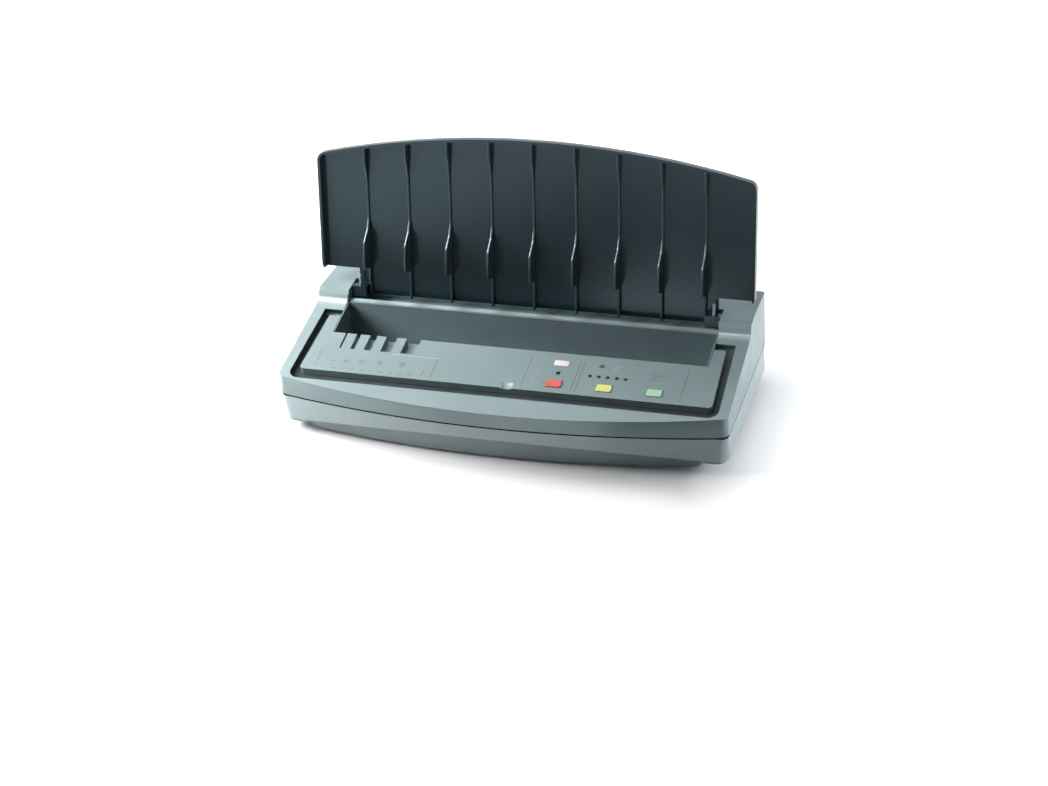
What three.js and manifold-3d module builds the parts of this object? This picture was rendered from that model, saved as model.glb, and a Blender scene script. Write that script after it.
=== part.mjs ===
// Thermal binding machine standing open: a bowed casing with a sloping deck, a heated trough and a ribbed cover.
// Millimetres. +X is the user's right, +Y is the rear, +Z is up; the origin lies on the table under the middle.
import * as THREE from "three";
import { mergeVertices } from "three/addons/utils/BufferGeometryUtils.js";
import Module from "manifold-3d";

const wasm = await Module();
wasm.setup();

// Shared
const clearance = 0.3; // between touching pieces
const overrun = 5; // how far a cutter runs past what it cuts
const fine = 20; // sides of a small round piece
const bowSegments = 18;
const cornerSegments = 4;
const coveSegments = 8;

// Casing in plan
const width = 420;
const depth = 200;
const frontBow = 23.5;
const frontCornerRadius = 7;
const rearCornerRadius = 3;
const rearTaper = 3.5; // each side draws in by this much at the rear
const wall = 2.5;

// Casing heights above the table
const bellyHeight = 3;
const skirtHeight = 7.5;
const stepCornerHeight = 12;
const stepCentreHeight = 24.3;
const seamHeight = 37;
const seamGap = 1;
const rimHeight = 51; // the deck's plane at the middle of the front
const ridgeHeight = 91;
const crownHeight = 92.8;
const rearHeight = 90.8;
const deckSlope = THREE.MathUtils.degToRad(12.75);

// Lower casing
const lowerInset = 0.6; // the lower shell stands this far inside the upper one
const skirtRounding = 4;
const skirtCornerRadius = 16; // the front corners widen to this at the skirt's foot
const bellySideInset = 16;
const bellySideTaper = 10;
const bellyFrontInset = 1.4;
const bellyFrontTaper = 7.6;
const bellyRearInset = 6;
const tongueHeight = 2;
const tongueRoot = 5;
const tongueWall = 1.2;

// Deck, measured along its slope from the middle of the front
const rimFrontWidth = 23;
const channelFrontWidth = 13;
const panelLength = 52.8;
const troughLength = 43.9;
const tabLength = 23.1;
const channelRearWidth = 8.5;
const rimSideWidth = 9.5;
const channelSideWidth = 7.5;
const deckTaper = 3.3; // the channel and the panel draw in towards the rear
const channelDepth = 7;
const channelRadius = 10;
const panelRadius = 4;
const panelThickness = 2.5;
const panelWall = 2;
const ledge = 6; // the tray's floor under the panel's skirt

// Trough and heater
const troughMargin = 1; // between the trough's end and a shoulder's inner face
const linerWall = 1.5;
const heaterTrayHeight = 17;
const heaterTrayThickness = 1.5;
const heaterTrayFlange = 4;
const padThickness = 3;
const elementThickness = 1.5;
const heaterPlateThickness = 4;
const heaterMargin = 1;
const elementMargin = 4;

// Spine gauge: slots in the panel's rear edge
const gaugeWidest = 14;
const gaugeWidthShares = [0.14, 0.29, 0.5, 0.75, 1];
const gaugeFinger = 9.1;
const gaugeInset = 27.7; // from the panel's left edge to the first slot
const gaugeLength = 20.6;
const gaugeDepth = 6;

// Controls on the panel
const controlsInset = 100.2; // from the panel's right edge to the middle button
const controlsPitch = 45.9;
const buttonRow = 11.5; // from the panel's front edge
const lightRow = 26;
const windowRow = 39.4;
const buttonWidth = 14;
const buttonLength = 9;
const buttonProud = 1;
const buttonFlange = 1.2;
const buttonLipWidth = 1.1;
const buttonTravel = 1;
const buttonStem = 1.7;
const buttonStemLength = 3.5;
const windowWidth = 14;
const windowLength = 6.8;
const windowProud = 0.3;
const lightPitch = 8.2;
const lightRadius = 1.25;
const lightBarThickness = 2;
const lightBarWidth = 5;
const statusRadius = 1.5;
const scoopOffset = 5;
const scoopRadius = 14;
const scoopDepth = 2;
const scoopSetback = 2;
const scoopPad = 16;

// Button board under the panel
const switchSize = 6;
const switchHeight = 4.5;
const switchFloor = 1;
const boardThickness = 1.6;
const boardMargin = 12;
const boardRearMargin = 10;
const postRadius = 2.6;
const postInset = 6;
const smallScrewRadius = 1.2;
const smallScrewHead = 2.3;
const smallScrewHeadHeight = 1.5;
const smallScrewLength = 6;

// Hinge and shoulders, set back from the trough's rear edge
const bandWidth = 6;
const hingeSetback = 15.5;
const hingeRise = 2.2; // above the deck's plane
const pinRadius = 3;
const pinHold = 12; // in the cover's knuckle
const pinReach = 12; // in the shoulder
const bushWall = 1.4;
const hingeBossRadius = 6.3;
const knuckleRadius = 5.5; // half the block's height
const pegRadius = 0.9;
const pegHeight = 10; // above the knuckle's block
const recessRadius = 12.3;
const shoulderWidth = 32;
const shoulderFootSetback = -10.2;
const shoulderFaceSetback = 1.2;
const ridgeSetback = 3.75;
const crownSetback = 22;
const filletHeight = 7.8; // the cove's height up the shoulder's face
const shoulderRounding = 5;

// Cover, measured from the hinge's axis in its own leaning frame
const coverLean = THREE.MathUtils.degToRad(8);
const plateOffset = 6.5; // from the axis back to the cover's inner face
const plateThickness = 2.5;
const coverInset = 2; // from the casing's side
const coverNotchGap = 4.7; // from a shoulder's inner face to the cover's lowest part
const coverApex = 156.3;
const coverBow = 25;
const coverCornerRadius = 6;
const coverFootRadius = 4; // at the lower corners over the shoulders
const coverShoulderGap = 19.1;
const coverFoot = -5;
const coverEdge = 3; // rounding of the outer face's rim
const lipWall = 2.5;
const lipRest = 0.6; // between the closed cover's lip and the deck

// Cover ribs
const ribCount = 9;
const ribEndInset = 16.4; // from a shoulder's inner face to the last rib
const ribThickness = 2;
const ribFoot = -6.5;
const ribLow = 4.5;
const ribDeep = 18;
const ribShallow = 1.5;
const ribNearMargin = 10.4;
const ribFarMargin = 8.5;
const ribStepSlant = 4;
const ribTopStart = 31; // below the rib's own top
const ribTopEnd = 12;

// Fasteners, feet and small parts in the base
const footRadius = 8;
const footPlugRadius = 2.6;
const footPlugHeight = 4.5;
const footInsetX = 45;
const footInsetFront = 40;
const footInsetRear = 24;
const bossRadius = 4.5;
const screwRadius = 1.7;
const screwHeadRadius = 3.4;
const screwHeadHeight = 2.4;
const screwLength = 30;
const bossInsetX = 19;
const bossInsetFront = 42;
const bossInsetRear = 14;
const bossTop = 30;

// Electrical parts
const mainBoardWidth = 120;
const mainBoardLength = 56;
const mainBoardInset = 65; // from the casing's right side
const mainBoardGap = 8;
const mainBoardInsetFront = 24;
const transformerWidth = 42;
const transformerLength = 36;
const transformerHeight = 22;
const buzzerRadius = 6;
const buzzerHeight = 7;
const thermostatRadius = 7.5;
const thermostatHeight = 7;
const fuseRadius = 2;
const fuseLength = 16;
const inletWidth = 28;
const inletHeight = 20;
const inletWall = 2;
const inletDepth = 20;
const inletCavity = 16;
const inletFlange = 3;
const inletFlangeThickness = 2;
const inletInset = 90; // from the casing's right side
const inletZ = 21;
const inletPinWidth = 2;
const inletPinHeight = 4;
const inletPinPitch = 7;
const inletPinLength = 9;

// Worked out from the sizes above
const halfWidth = width / 2;
const shoulderInner = halfWidth - shoulderWidth;
const troughHalf = shoulderInner - troughMargin;
const coverHalf = halfWidth - coverInset;
const coverInnerHalf = shoulderInner - coverNotchGap;
const ribPitch = (2 * (shoulderInner - ribEndInset)) / (ribCount - 1);
const inletX = halfWidth - inletInset;
const frontY = -depth / 2;
const rearY = depth / 2;
const bowRadius = (halfWidth ** 2 + frontBow ** 2) / (2 * frontBow);
const slopeCos = Math.cos(deckSlope);
const slopeTan = Math.tan(deckSlope);
const deckZ = (y) => rimHeight + (y - frontY) * slopeTan;
const onSlope = (along) => frontY + along * slopeCos;
const channelFront = rimFrontWidth;
const panelFront = channelFront + channelFrontWidth;
const troughFront = panelFront + panelLength;
const troughRear = troughFront + troughLength;
const tabRear = troughFront + tabLength;
const channelRear = tabRear + channelRearWidth;
const channelHalf = halfWidth - rimSideWidth;
const panelHalf = channelHalf - channelSideWidth;
const controlsCentre = panelHalf - controlsInset;
const troughFrontY = onSlope(troughFront);
const troughRearY = onSlope(troughRear);
const linerHalf = troughHalf + linerWall;
const linerFrontY = troughFrontY - linerWall;
const linerRearY = troughRearY + linerWall;
const bandRearY = troughRearY + bandWidth;
const hingeY = troughRearY + hingeSetback;
const hingeZ = deckZ(hingeY) + hingeRise;
const recessFloor = hingeZ - recessRadius;
const recessRearY = hingeY + recessRadius;
const closedHeight = plateOffset + hingeRise * slopeCos;
const lipDepth = closedHeight - lipRest;
const plateOuter = plateOffset + plateThickness;
const topZ = crownHeight + overrun;

const deckMatrix = new THREE.Matrix4()
  .makeTranslation(0, frontY, rimHeight)
  .multiply(new THREE.Matrix4().makeRotationX(deckSlope));

// A closed geometry as a solid for joining and cutting.
function solid(geometry) {
  const bare = new THREE.BufferGeometry();
  bare.setAttribute("position", geometry.getAttribute("position"));
  if (geometry.index) {
    bare.setIndex(geometry.index);
  }
  const merged = mergeVertices(bare, 1e-4);
  return new wasm.Manifold(
    new wasm.Mesh({
      numProp: 3,
      vertProperties: merged.attributes.position.array,
      triVerts: new Uint32Array(merged.index.array),
    }),
  );
}

// A solid back as a geometry with flat faces.
function geometryOf(body) {
  const mesh = body.getMesh();
  const geometry = new THREE.BufferGeometry();
  const positions = new Float32Array(mesh.numVert * 3);
  for (let i = 0; i < mesh.numVert; i++) {
    positions.set(mesh.vertProperties.subarray(i * mesh.numProp, i * mesh.numProp + 3), i * 3);
  }
  geometry.setAttribute("position", new THREE.BufferAttribute(positions, 3));
  geometry.setIndex(new THREE.BufferAttribute(mesh.triVerts, 1));
  const flat = geometry.toNonIndexed();
  flat.computeVertexNormals();
  return flat;
}

function join(...bodies) {
  return bodies.reduce((whole, body) => whole.add(body));
}

// Box between two corners.
function box(x0, x1, y0, y1, z0, z1) {
  const geometry = new THREE.BoxGeometry(x1 - x0, y1 - y0, z1 - z0);
  return geometry.translate((x0 + x1) / 2, (y0 + y1) / 2, (z0 + z1) / 2);
}

// Cylinder along Z from z0 to z1.
function post(x, y, z0, z1, radius, sides = fine) {
  const geometry = new THREE.CylinderGeometry(radius, radius, z1 - z0, sides);
  return geometry.rotateX(Math.PI / 2).translate(x, y, (z0 + z1) / 2);
}

// Cylinder along X from x0 to x1.
function axle(x0, x1, y, z, radius, sides = fine) {
  const geometry = new THREE.CylinderGeometry(radius, radius, x1 - x0, sides);
  return geometry.rotateZ(Math.PI / 2).translate((x0 + x1) / 2, y, z);
}

function shapeOf(points) {
  return new THREE.Shape(points.map(([x, y]) => new THREE.Vector2(x, y)));
}

// A plan shape raised from z0 to z1.
function raise(shape, z0, z1) {
  const settings = { depth: z1 - z0, bevelEnabled: false, curveSegments: cornerSegments };
  return new THREE.ExtrudeGeometry(shape, settings).translate(0, 0, z0);
}

// A side view drawn in Y and Z, run along X.
function runAlongX(shape, x0, x1) {
  const settings = { depth: x1 - x0, bevelEnabled: false, curveSegments: coveSegments };
  const turned = new THREE.Matrix4().makeBasis(
    new THREE.Vector3(0, 1, 0),
    new THREE.Vector3(0, 0, 1),
    new THREE.Vector3(1, 0, 0),
  );
  return new THREE.ExtrudeGeometry(shape, settings).applyMatrix4(turned).translate(x0, 0, 0);
}

// A front view drawn in X and Z, run back along Y from y0 to y1.
function runAlongY(shape, y0, y1, segments) {
  const settings = { depth: y1 - y0, bevelEnabled: false, curveSegments: segments };
  return new THREE.ExtrudeGeometry(shape, settings).rotateX(Math.PI / 2).translate(0, y1, 0);
}

function roundedPlan(half, taper, y0, y1, frontRadius, backRadius) {
  const shape = new THREE.Shape();
  const quarter = Math.PI / 2;
  const front = half - frontRadius;
  const back = half - taper - backRadius;
  shape.absarc(front, y0 + frontRadius, frontRadius, -quarter, 0);
  shape.absarc(back, y1 - backRadius, backRadius, 0, quarter);
  shape.absarc(-back, y1 - backRadius, backRadius, quarter, 2 * quarter);
  shape.absarc(-front, y0 + frontRadius, frontRadius, 2 * quarter, 3 * quarter);
  return shape;
}

// Outlines of equal point counts at rising heights, closed into one body.
function loft(rings) {
  const count = rings[0].points.length;
  const positions = [];
  const faces = [];
  for (const ring of rings) {
    for (const point of ring.points) {
      positions.push(point.x, point.y, ring.z);
    }
  }
  for (let r = 0; r + 1 < rings.length; r++) {
    for (let i = 0; i < count; i++) {
      const a = r * count + i;
      const b = r * count + ((i + 1) % count);
      faces.push(a, b, b + count, a, b + count, a + count);
    }
  }
  const top = (rings.length - 1) * count;
  for (const [a, b, c] of THREE.ShapeUtils.triangulateShape(rings[0].points, [])) {
    faces.push(a, c, b);
  }
  for (const [a, b, c] of THREE.ShapeUtils.triangulateShape(rings.at(-1).points, [])) {
    faces.push(top + a, top + b, top + c);
  }
  const geometry = new THREE.BufferGeometry();
  geometry.setAttribute("position", new THREE.Float32BufferAttribute(positions, 3));
  geometry.setIndex(faces);
  return geometry;
}

// The casing's plan with its sides, front and rear drawn in by their own amounts.
function casingOutline(side, front, rear, corner) {
  const half = halfWidth - side;
  const radius = bowRadius - front;
  const bowCentre = frontY + bowRadius;
  const cornerX = half - corner;
  const cornerY = bowCentre - Math.sqrt((radius - corner) ** 2 - cornerX ** 2);
  const meet = Math.atan2(cornerX, bowCentre - cornerY);
  const rearX = half - rearTaper - rearCornerRadius;
  const backY = rearY - rear - rearCornerRadius;
  const points = [];
  const arc = (x, y, r, from, to, segments) => {
    for (let i = 0; i <= segments; i++) {
      const angle = from + ((to - from) * i) / segments;
      points.push(new THREE.Vector2(x + r * Math.cos(angle), y + r * Math.sin(angle)));
    }
  };
  const quarter = Math.PI / 2;
  arc(0, bowCentre, radius, -quarter - meet, -quarter + meet, bowSegments);
  points.pop();
  arc(cornerX, cornerY, corner, -quarter + meet, 0, cornerSegments);
  arc(rearX, backY, rearCornerRadius, 0, quarter, cornerSegments);
  arc(-rearX, backY, rearCornerRadius, quarter, 2 * quarter, cornerSegments);
  arc(-cornerX, cornerY, corner, 2 * quarter, 3 * quarter - meet, cornerSegments);
  points.pop();
  return points;
}

function casingRing(z, side, front = side, rear = side, corner = frontCornerRadius) {
  return { z, points: casingOutline(side, front, rear, corner) };
}

// A ring with the same inset all round whose front corners have their own radius
function cornerRing(z, inset, corner) {
  return casingRing(z, inset, inset, inset, corner);
}

// Finishes
const finish = (color, roughness, metalness) => () =>
  new THREE.MeshStandardMaterial({ color, roughness, metalness });
const casingGrey = finish(0x8b9fa3, 0.45, 0);
const panelGrey = finish(0x92a5a8, 0.5, 0);
const slate = finish(0x2c383d, 0.4, 0);
const darkGrey = finish(0x48585c, 0.5, 0);
const steel = finish(0xb5b8ba, 0.35, 0.9);
const aluminium = finish(0xc4c7c9, 0.4, 0.9);
const blackPlastic = finish(0x1d2022, 0.5, 0);
const rubber = finish(0x24282a, 0.9, 0);
const boardGreen = finish(0x2c5f3a, 0.5, 0);
const mica = finish(0xb7a37c, 0.7, 0);
const felt = finish(0xdad6cc, 0.95, 0);
const red = finish(0xe0594b, 0.4, 0);
const yellow = finish(0xdbe36b, 0.4, 0);
const green = finish(0x9ed5aa, 0.4, 0);
const white = finish(0xeeeaf0, 0.4, 0);
const clear = finish(0x39464a, 0.2, 0);
const nylon = finish(0xe6e2d6, 0.6, 0);

const machine = new THREE.Group();

// Everything on the sloping deck is drawn in the deck's own frame.
const deck = new THREE.Group();
deck.position.set(0, frontY, rimHeight);
deck.rotation.x = deckSlope;
machine.add(deck);

// The cover and its pins are drawn round the hinge's axis.
const cover = new THREE.Group();
cover.position.set(0, hingeY, hingeZ);
cover.rotation.x = -coverLean;
machine.add(cover);

function place(group, name, body, makeMaterial) {
  const geometry = body.isBufferGeometry ? body : geometryOf(body);
  const mesh = new THREE.Mesh(geometry, makeMaterial());
  mesh.name = name;
  group.add(mesh);
}

const bothSides = [
  ["left", -1],
  ["right", 1],
];
const fourCorners = [
  ["front_left", -1, -1],
  ["front_right", 1, -1],
  ["rear_left", -1, 1],
  ["rear_right", 1, 1],
];

function bossPlace(side, end) {
  const y = end < 0 ? frontY + bossInsetFront : rearY - bossInsetRear;
  return [side * (halfWidth - bossInsetX), y];
}

function footPlace(side, end) {
  const y = end < 0 ? frontY + footInsetFront : rearY - footInsetRear;
  return [side * (halfWidth - footInsetX), y];
}

// Lower casing: a skirt with a rounded foot, and a bowed belly below it that shows under an arch in front
const lowerTop = seamHeight - seamGap;
const lowerWall = wall + lowerInset;
const lowerFloor = bellyHeight + wall;
const bellyHole = 2 * clearance; // round a foot's plug

function lowerCasing() {
  const skirt = solid(
    loft([
      cornerRing(skirtHeight, lowerInset + skirtRounding, skirtCornerRadius),
      cornerRing(skirtHeight + skirtRounding / 4, lowerInset + skirtRounding / 3, skirtCornerRadius),
      cornerRing(skirtHeight + skirtRounding, lowerInset, skirtCornerRadius),
      cornerRing(lowerTop, lowerInset, frontCornerRadius),
    ]),
  );
  const archHalf = halfWidth - frontCornerRadius;
  const archRise = stepCentreHeight - stepCornerHeight;
  const archRadius = (archHalf ** 2 + archRise ** 2) / (2 * archRise);
  const archAngle = Math.asin(archHalf / archRadius);
  const arch = new THREE.Shape();
  arch.moveTo(-archHalf, 0);
  arch.lineTo(-archHalf, stepCornerHeight);
  const archCentre = stepCentreHeight - archRadius;
  const quarter = Math.PI / 2;
  arch.absarc(0, archCentre, archRadius, quarter + archAngle, quarter - archAngle, true);
  arch.lineTo(archHalf, 0);
  const archCut = solid(runAlongY(arch, frontY - overrun, frontY + frontBow + wall, bowSegments));
  const bellyTop = stepCentreHeight;
  const belly = solid(
    loft([
      casingRing(
        bellyHeight,
        bellySideInset + bellySideTaper,
        bellyFrontInset + bellyFrontTaper,
        bellyRearInset + bellySideTaper,
      ),
      casingRing(bellyTop, bellySideInset, bellyFrontInset, bellyRearInset),
    ]),
  );
  const outer = skirt.subtract(archCut).add(belly);
  const bellyCavity = solid(
    loft([
      casingRing(
        lowerFloor,
        bellySideInset + bellySideTaper + wall,
        bellyFrontInset + bellyFrontTaper + wall,
        bellyRearInset + bellySideTaper + wall,
      ),
      casingRing(
        bellyTop + overrun,
        bellySideInset + wall,
        bellyFrontInset + 2 * wall,
        bellyRearInset + wall,
      ),
    ]),
  );
  const skirtCavity = solid(
    loft([
      casingRing(
        skirtHeight + wall,
        lowerWall,
        bellyFrontInset + bellyFrontTaper + wall,
        lowerWall,
        skirtCornerRadius,
      ),
      casingRing(bellyTop, lowerWall, bellyFrontInset + wall, lowerWall, skirtCornerRadius),
      casingRing(lowerTop + overrun, lowerWall, lowerWall, lowerWall),
    ]),
  );
  const tongue = solid(
    loft([
      casingRing(lowerTop - tongueRoot, wall + clearance),
      casingRing(seamHeight + tongueHeight, wall + clearance),
    ]),
  );
  const tongueCore = solid(
    loft([
      casingRing(lowerTop - tongueRoot - overrun, wall + clearance + tongueWall),
      casingRing(seamHeight + tongueHeight + overrun, wall + clearance + tongueWall),
    ]),
  );
  let shell = outer.subtract(join(bellyCavity, skirtCavity)).add(tongue.subtract(tongueCore));
  for (const [, side, end] of fourCorners) {
    const [x, y] = bossPlace(side, end);
    const head = skirtHeight + screwHeadHeight + clearance;
    shell = shell.add(solid(post(x, y, skirtHeight + wall / 2, bossTop, bossRadius)));
    shell = shell.subtract(solid(post(x, y, 0, bossTop + overrun, screwRadius + clearance)));
    shell = shell.subtract(solid(post(x, y, 0, head, screwHeadRadius + clearance)));
    const [fx, fy] = footPlace(side, end);
    const hole = footPlugRadius + bellyHole / 2;
    shell = shell.subtract(solid(post(fx, fy, 0, lowerFloor + overrun, hole)));
  }
  for (const x of traySupports) {
    for (const y of [trayFrontY + supportInset, trayRearY - supportInset]) {
      shell = shell.add(solid(post(x, y, lowerFloor - wall / 2, heaterTrayHeight - clearance, postRadius)));
    }
  }
  for (const [x, y] of mainBoardPosts) {
    const top = mainBoardZ - clearance;
    shell = shell.add(solid(post(x, y, lowerFloor - wall / 2, top, postRadius)));
    shell = shell.subtract(solid(post(x, y, top - smallScrewLength, top + overrun, smallScrewRadius + clearance)));
  }
  const inletHole = box(
    inletX - inletWidth / 2 - clearance,
    inletX + inletWidth / 2 + clearance,
    rearY - lowerWall - overrun,
    rearY + overrun,
    inletZ - inletHeight / 2 - clearance,
    inletZ + inletHeight / 2 + clearance,
  );
  shell = shell.subtract(solid(inletHole));
  place(machine, "lower_casing", shell, casingGrey);
}

// Heater tray and its supports
const trayHalf = linerHalf + heaterTrayFlange;
const trayFrontY = linerFrontY - heaterTrayFlange;
const trayRearY = linerRearY + heaterTrayFlange;
const supportInset = postRadius + clearance;
const traySupports = [-trayHalf + supportInset, 0, trayHalf - supportInset];
const linerBottom = heaterTrayHeight + heaterTrayThickness + clearance;

function heater() {
  const tray = box(
    -trayHalf,
    trayHalf,
    trayFrontY,
    trayRearY,
    heaterTrayHeight,
    heaterTrayHeight + heaterTrayThickness,
  );
  place(machine, "heater_tray", solid(tray), steel);
  const layers = [
    ["insulation_pad", padThickness, heaterMargin, felt],
    ["heating_element", elementThickness, elementMargin, mica],
    ["heater_plate", heaterPlateThickness, heaterMargin, aluminium],
  ];
  let z = linerBottom;
  for (const [name, thickness, margin, material] of layers) {
    const layer = box(
      -troughHalf + margin,
      troughHalf - margin,
      troughFrontY + margin,
      troughRearY - margin,
      z,
      z + thickness,
    );
    place(machine, name, solid(layer), material);
    z += thickness + clearance;
  }
  const under = heaterTrayHeight - clearance;
  const middleY = (troughFrontY + troughRearY) / 2;
  const thermostatX = troughHalf / 3;
  const thermostat = post(thermostatX, middleY, under - thermostatHeight, under, thermostatRadius);
  place(machine, "thermostat", solid(thermostat), blackPlastic);
  const fuseY = middleY;
  const fuse = axle(
    -thermostatX - fuseLength / 2,
    -thermostatX + fuseLength / 2,
    fuseY,
    under - fuseRadius,
    fuseRadius,
  );
  place(machine, "thermal_fuse", solid(fuse), steel);
}

function troughLiner() {
  const outer = solid(box(-linerHalf, linerHalf, linerFrontY, linerRearY, linerBottom, topZ));
  const inner = box(-troughHalf, troughHalf, troughFrontY, troughRearY, 0, topZ + overrun);
  const above = box(-width, width, -depth, 2 * depth, 0, topZ).applyMatrix4(deckMatrix);
  const underPanel = box(
    -width,
    width,
    -depth,
    troughFront + clearance,
    -channelDepth - clearance,
    topZ,
  ).applyMatrix4(deckMatrix);
  const liner = outer.subtract(join(solid(inner), solid(above), solid(underPanel)));
  place(machine, "trough_liner", liner, darkGrey);
}

// The side view of the upper casing, lowered and thinned by a wall for its inside
function casingProfile(inset) {
  const shape = new THREE.Shape();
  const low = -inset / slopeCos;
  const footY = troughRearY + shoulderFootSetback;
  const faceY = troughRearY + shoulderFaceSetback + inset;
  const faceZ = deckZ(footY) + filletHeight;
  shape.moveTo(frontY - overrun, seamHeight - overrun);
  shape.lineTo(rearY + overrun, seamHeight - overrun);
  shape.lineTo(rearY + overrun, rearHeight - inset);
  shape.lineTo(troughRearY + crownSetback, crownHeight - inset);
  shape.lineTo(troughRearY + ridgeSetback + inset, ridgeHeight - inset);
  shape.lineTo(faceY, faceZ);
  shape.quadraticCurveTo(faceY, deckZ(faceY) + low, footY, deckZ(footY) + low);
  shape.lineTo(frontY - overrun, deckZ(frontY - overrun) + low);
  return shape;
}

// Rounded upper outer edges, as a front view
function roundedFront(inset) {
  const half = halfWidth - inset;
  const top = crownHeight + clearance - inset;
  const low = seamHeight - overrun;
  const shape = shapeOf([
    [-half, low],
    [half, low],
    [half, top - shoulderRounding],
    [half - shoulderRounding / 4, top - shoulderRounding / 3],
    [half - shoulderRounding, top],
    [-half + shoulderRounding, top],
    [-half + shoulderRounding / 4, top - shoulderRounding / 3],
    [-half, top - shoulderRounding],
  ]);
  return runAlongY(shape, frontY - overrun, rearY + overrun, 1);
}

function channelShape(grow) {
  const half = channelHalf + grow;
  return roundedPlan(
    half,
    deckTaper,
    channelFront - grow,
    channelRear + grow,
    channelRadius + grow,
    1 + grow,
  );
}

// Where the rear deck's lip meets the leaning cover: the cover's outer face at a height, with a gap
function stopY(z) {
  const up = (z - hingeZ + plateOuter * Math.sin(coverLean)) / Math.cos(coverLean);
  return hingeY + plateOuter * Math.cos(coverLean) + up * Math.sin(coverLean) + clearance;
}

function upperCasing() {
  const outer = solid(
    loft([casingRing(seamHeight, 0), casingRing(topZ, 0)]),
  )
    .intersect(solid(runAlongX(casingProfile(0), -halfWidth, halfWidth)))
    .intersect(solid(roundedFront(0)));
  const tray = raise(channelShape(wall), -channelDepth - wall, topZ).applyMatrix4(deckMatrix);
  const aroundRecess = box(
    -shoulderInner - wall,
    shoulderInner + wall,
    linerRearY + clearance,
    recessRearY + wall,
    recessFloor - wall,
    topZ,
  );
  const aroundTrough = box(
    -linerHalf - clearance - wall,
    linerHalf + clearance + wall,
    linerFrontY - clearance - wall,
    linerRearY + clearance + wall,
    recessFloor - wall,
    topZ,
  );
  const cavity = solid(loft([casingRing(seamHeight - overrun, wall), casingRing(topZ, wall)]))
    .intersect(solid(runAlongX(casingProfile(wall), -halfWidth, halfWidth)))
    .intersect(solid(roundedFront(wall)))
    .subtract(join(solid(tray), solid(aroundRecess), solid(aroundTrough)));
  let shell = outer.subtract(cavity);
  for (const [, side, end] of fourCorners) {
    const [x, y] = bossPlace(side, end);
    const boss = solid(post(x, y, bossTop + clearance, topZ, bossRadius));
    shell = shell.add(boss.intersect(outer));
  }
  for (const [, side] of bothSides) {
    const from = side * shoulderInner;
    const to = side * (shoulderInner + pinReach + wall);
    const boss = axle(Math.min(from, to), Math.max(from, to), hingeY, hingeZ, hingeBossRadius);
    shell = shell.add(solid(boss).intersect(outer));
  }
  const aboveMiddle = box(
    -shoulderInner,
    shoulderInner,
    -depth,
    troughRear + bandWidth + overrun,
    0,
    topZ,
  );
  const recess = box(-shoulderInner, shoulderInner, bandRearY, recessRearY, recessFloor, topZ);
  const lipFront = stopY(crownHeight);
  const lipSlot = box(
    -shoulderInner,
    shoulderInner,
    bandRearY,
    lipFront,
    crownHeight - wall - overrun,
    topZ,
  );
  const underLip = box(
    -shoulderInner,
    shoulderInner,
    bandRearY,
    recessRearY,
    recessFloor,
    crownHeight - wall,
  );
  const middle = join(solid(lipSlot), solid(underLip), solid(aboveMiddle.applyMatrix4(deckMatrix)));
  const openRecess = recessRearY > lipFront ? middle : middle.add(solid(recess));
  const channel = raise(channelShape(0), -channelDepth, topZ).applyMatrix4(deckMatrix);
  const opening = box(
    -panelHalf + ledge,
    panelHalf - ledge,
    panelFront + ledge,
    troughFront,
    -channelDepth - 2 * wall,
    topZ,
  ).applyMatrix4(deckMatrix);
  const trough = box(
    -linerHalf - clearance,
    linerHalf + clearance,
    linerFrontY - clearance,
    linerRearY + clearance,
    0,
    topZ,
  );
  // The channel stops beside the trough, so that the shoulders' coves stay whole.
  shell = shell.subtract(join(openRecess, solid(channel), solid(opening), solid(trough)));
  for (const [, side, end] of fourCorners) {
    const [x, y] = bossPlace(side, end);
    const reach = screwLength + skirtHeight + 2 * clearance + screwHeadHeight;
    shell = shell.subtract(solid(post(x, y, 0, reach, screwRadius + clearance)));
  }
  for (const [, side] of bothSides) {
    const from = side * (shoulderInner - overrun);
    const to = side * (shoulderInner + pinReach + clearance);
    const bore = pinRadius + bushWall + 2 * clearance;
    shell = shell.subtract(solid(axle(Math.min(from, to), Math.max(from, to), hingeY, hingeZ, bore)));
  }
  place(machine, "upper_casing", shell, casingGrey);
}

// Control panel with its skirt, spine gauge, windows and board posts, in the deck's frame
const tabInner = linerHalf + clearance;
const skirtBottom = -channelDepth + clearance;
const controlXs = [-1, 0, 1].map((step) => controlsCentre + step * controlsPitch);
const stemBottom = -panelThickness - clearance - buttonFlange - buttonStemLength;
const boardTop = stemBottom - buttonTravel - 2 * clearance - switchFloor;
const boardX0 = controlXs[0] - boardMargin;
const boardX1 = controlXs[2] + boardMargin;
const boardY0 = panelFront + ledge - clearance;
const boardY1 = troughFront - boardRearMargin;
const boardPosts = [];
for (const x of [controlsCentre - controlsPitch / 2, controlsCentre + controlsPitch / 2]) {
  boardPosts.push([x, boardY0 + postInset], [x, boardY1 - postInset]);
}

function gaugeSlots() {
  const slots = [];
  let x = -panelHalf + gaugeInset;
  for (const share of gaugeWidthShares) {
    const slotWidth = share * gaugeWidest;
    slots.push([x, x + slotWidth]);
    x += slotWidth + gaugeFinger;
  }
  return slots;
}

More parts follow.
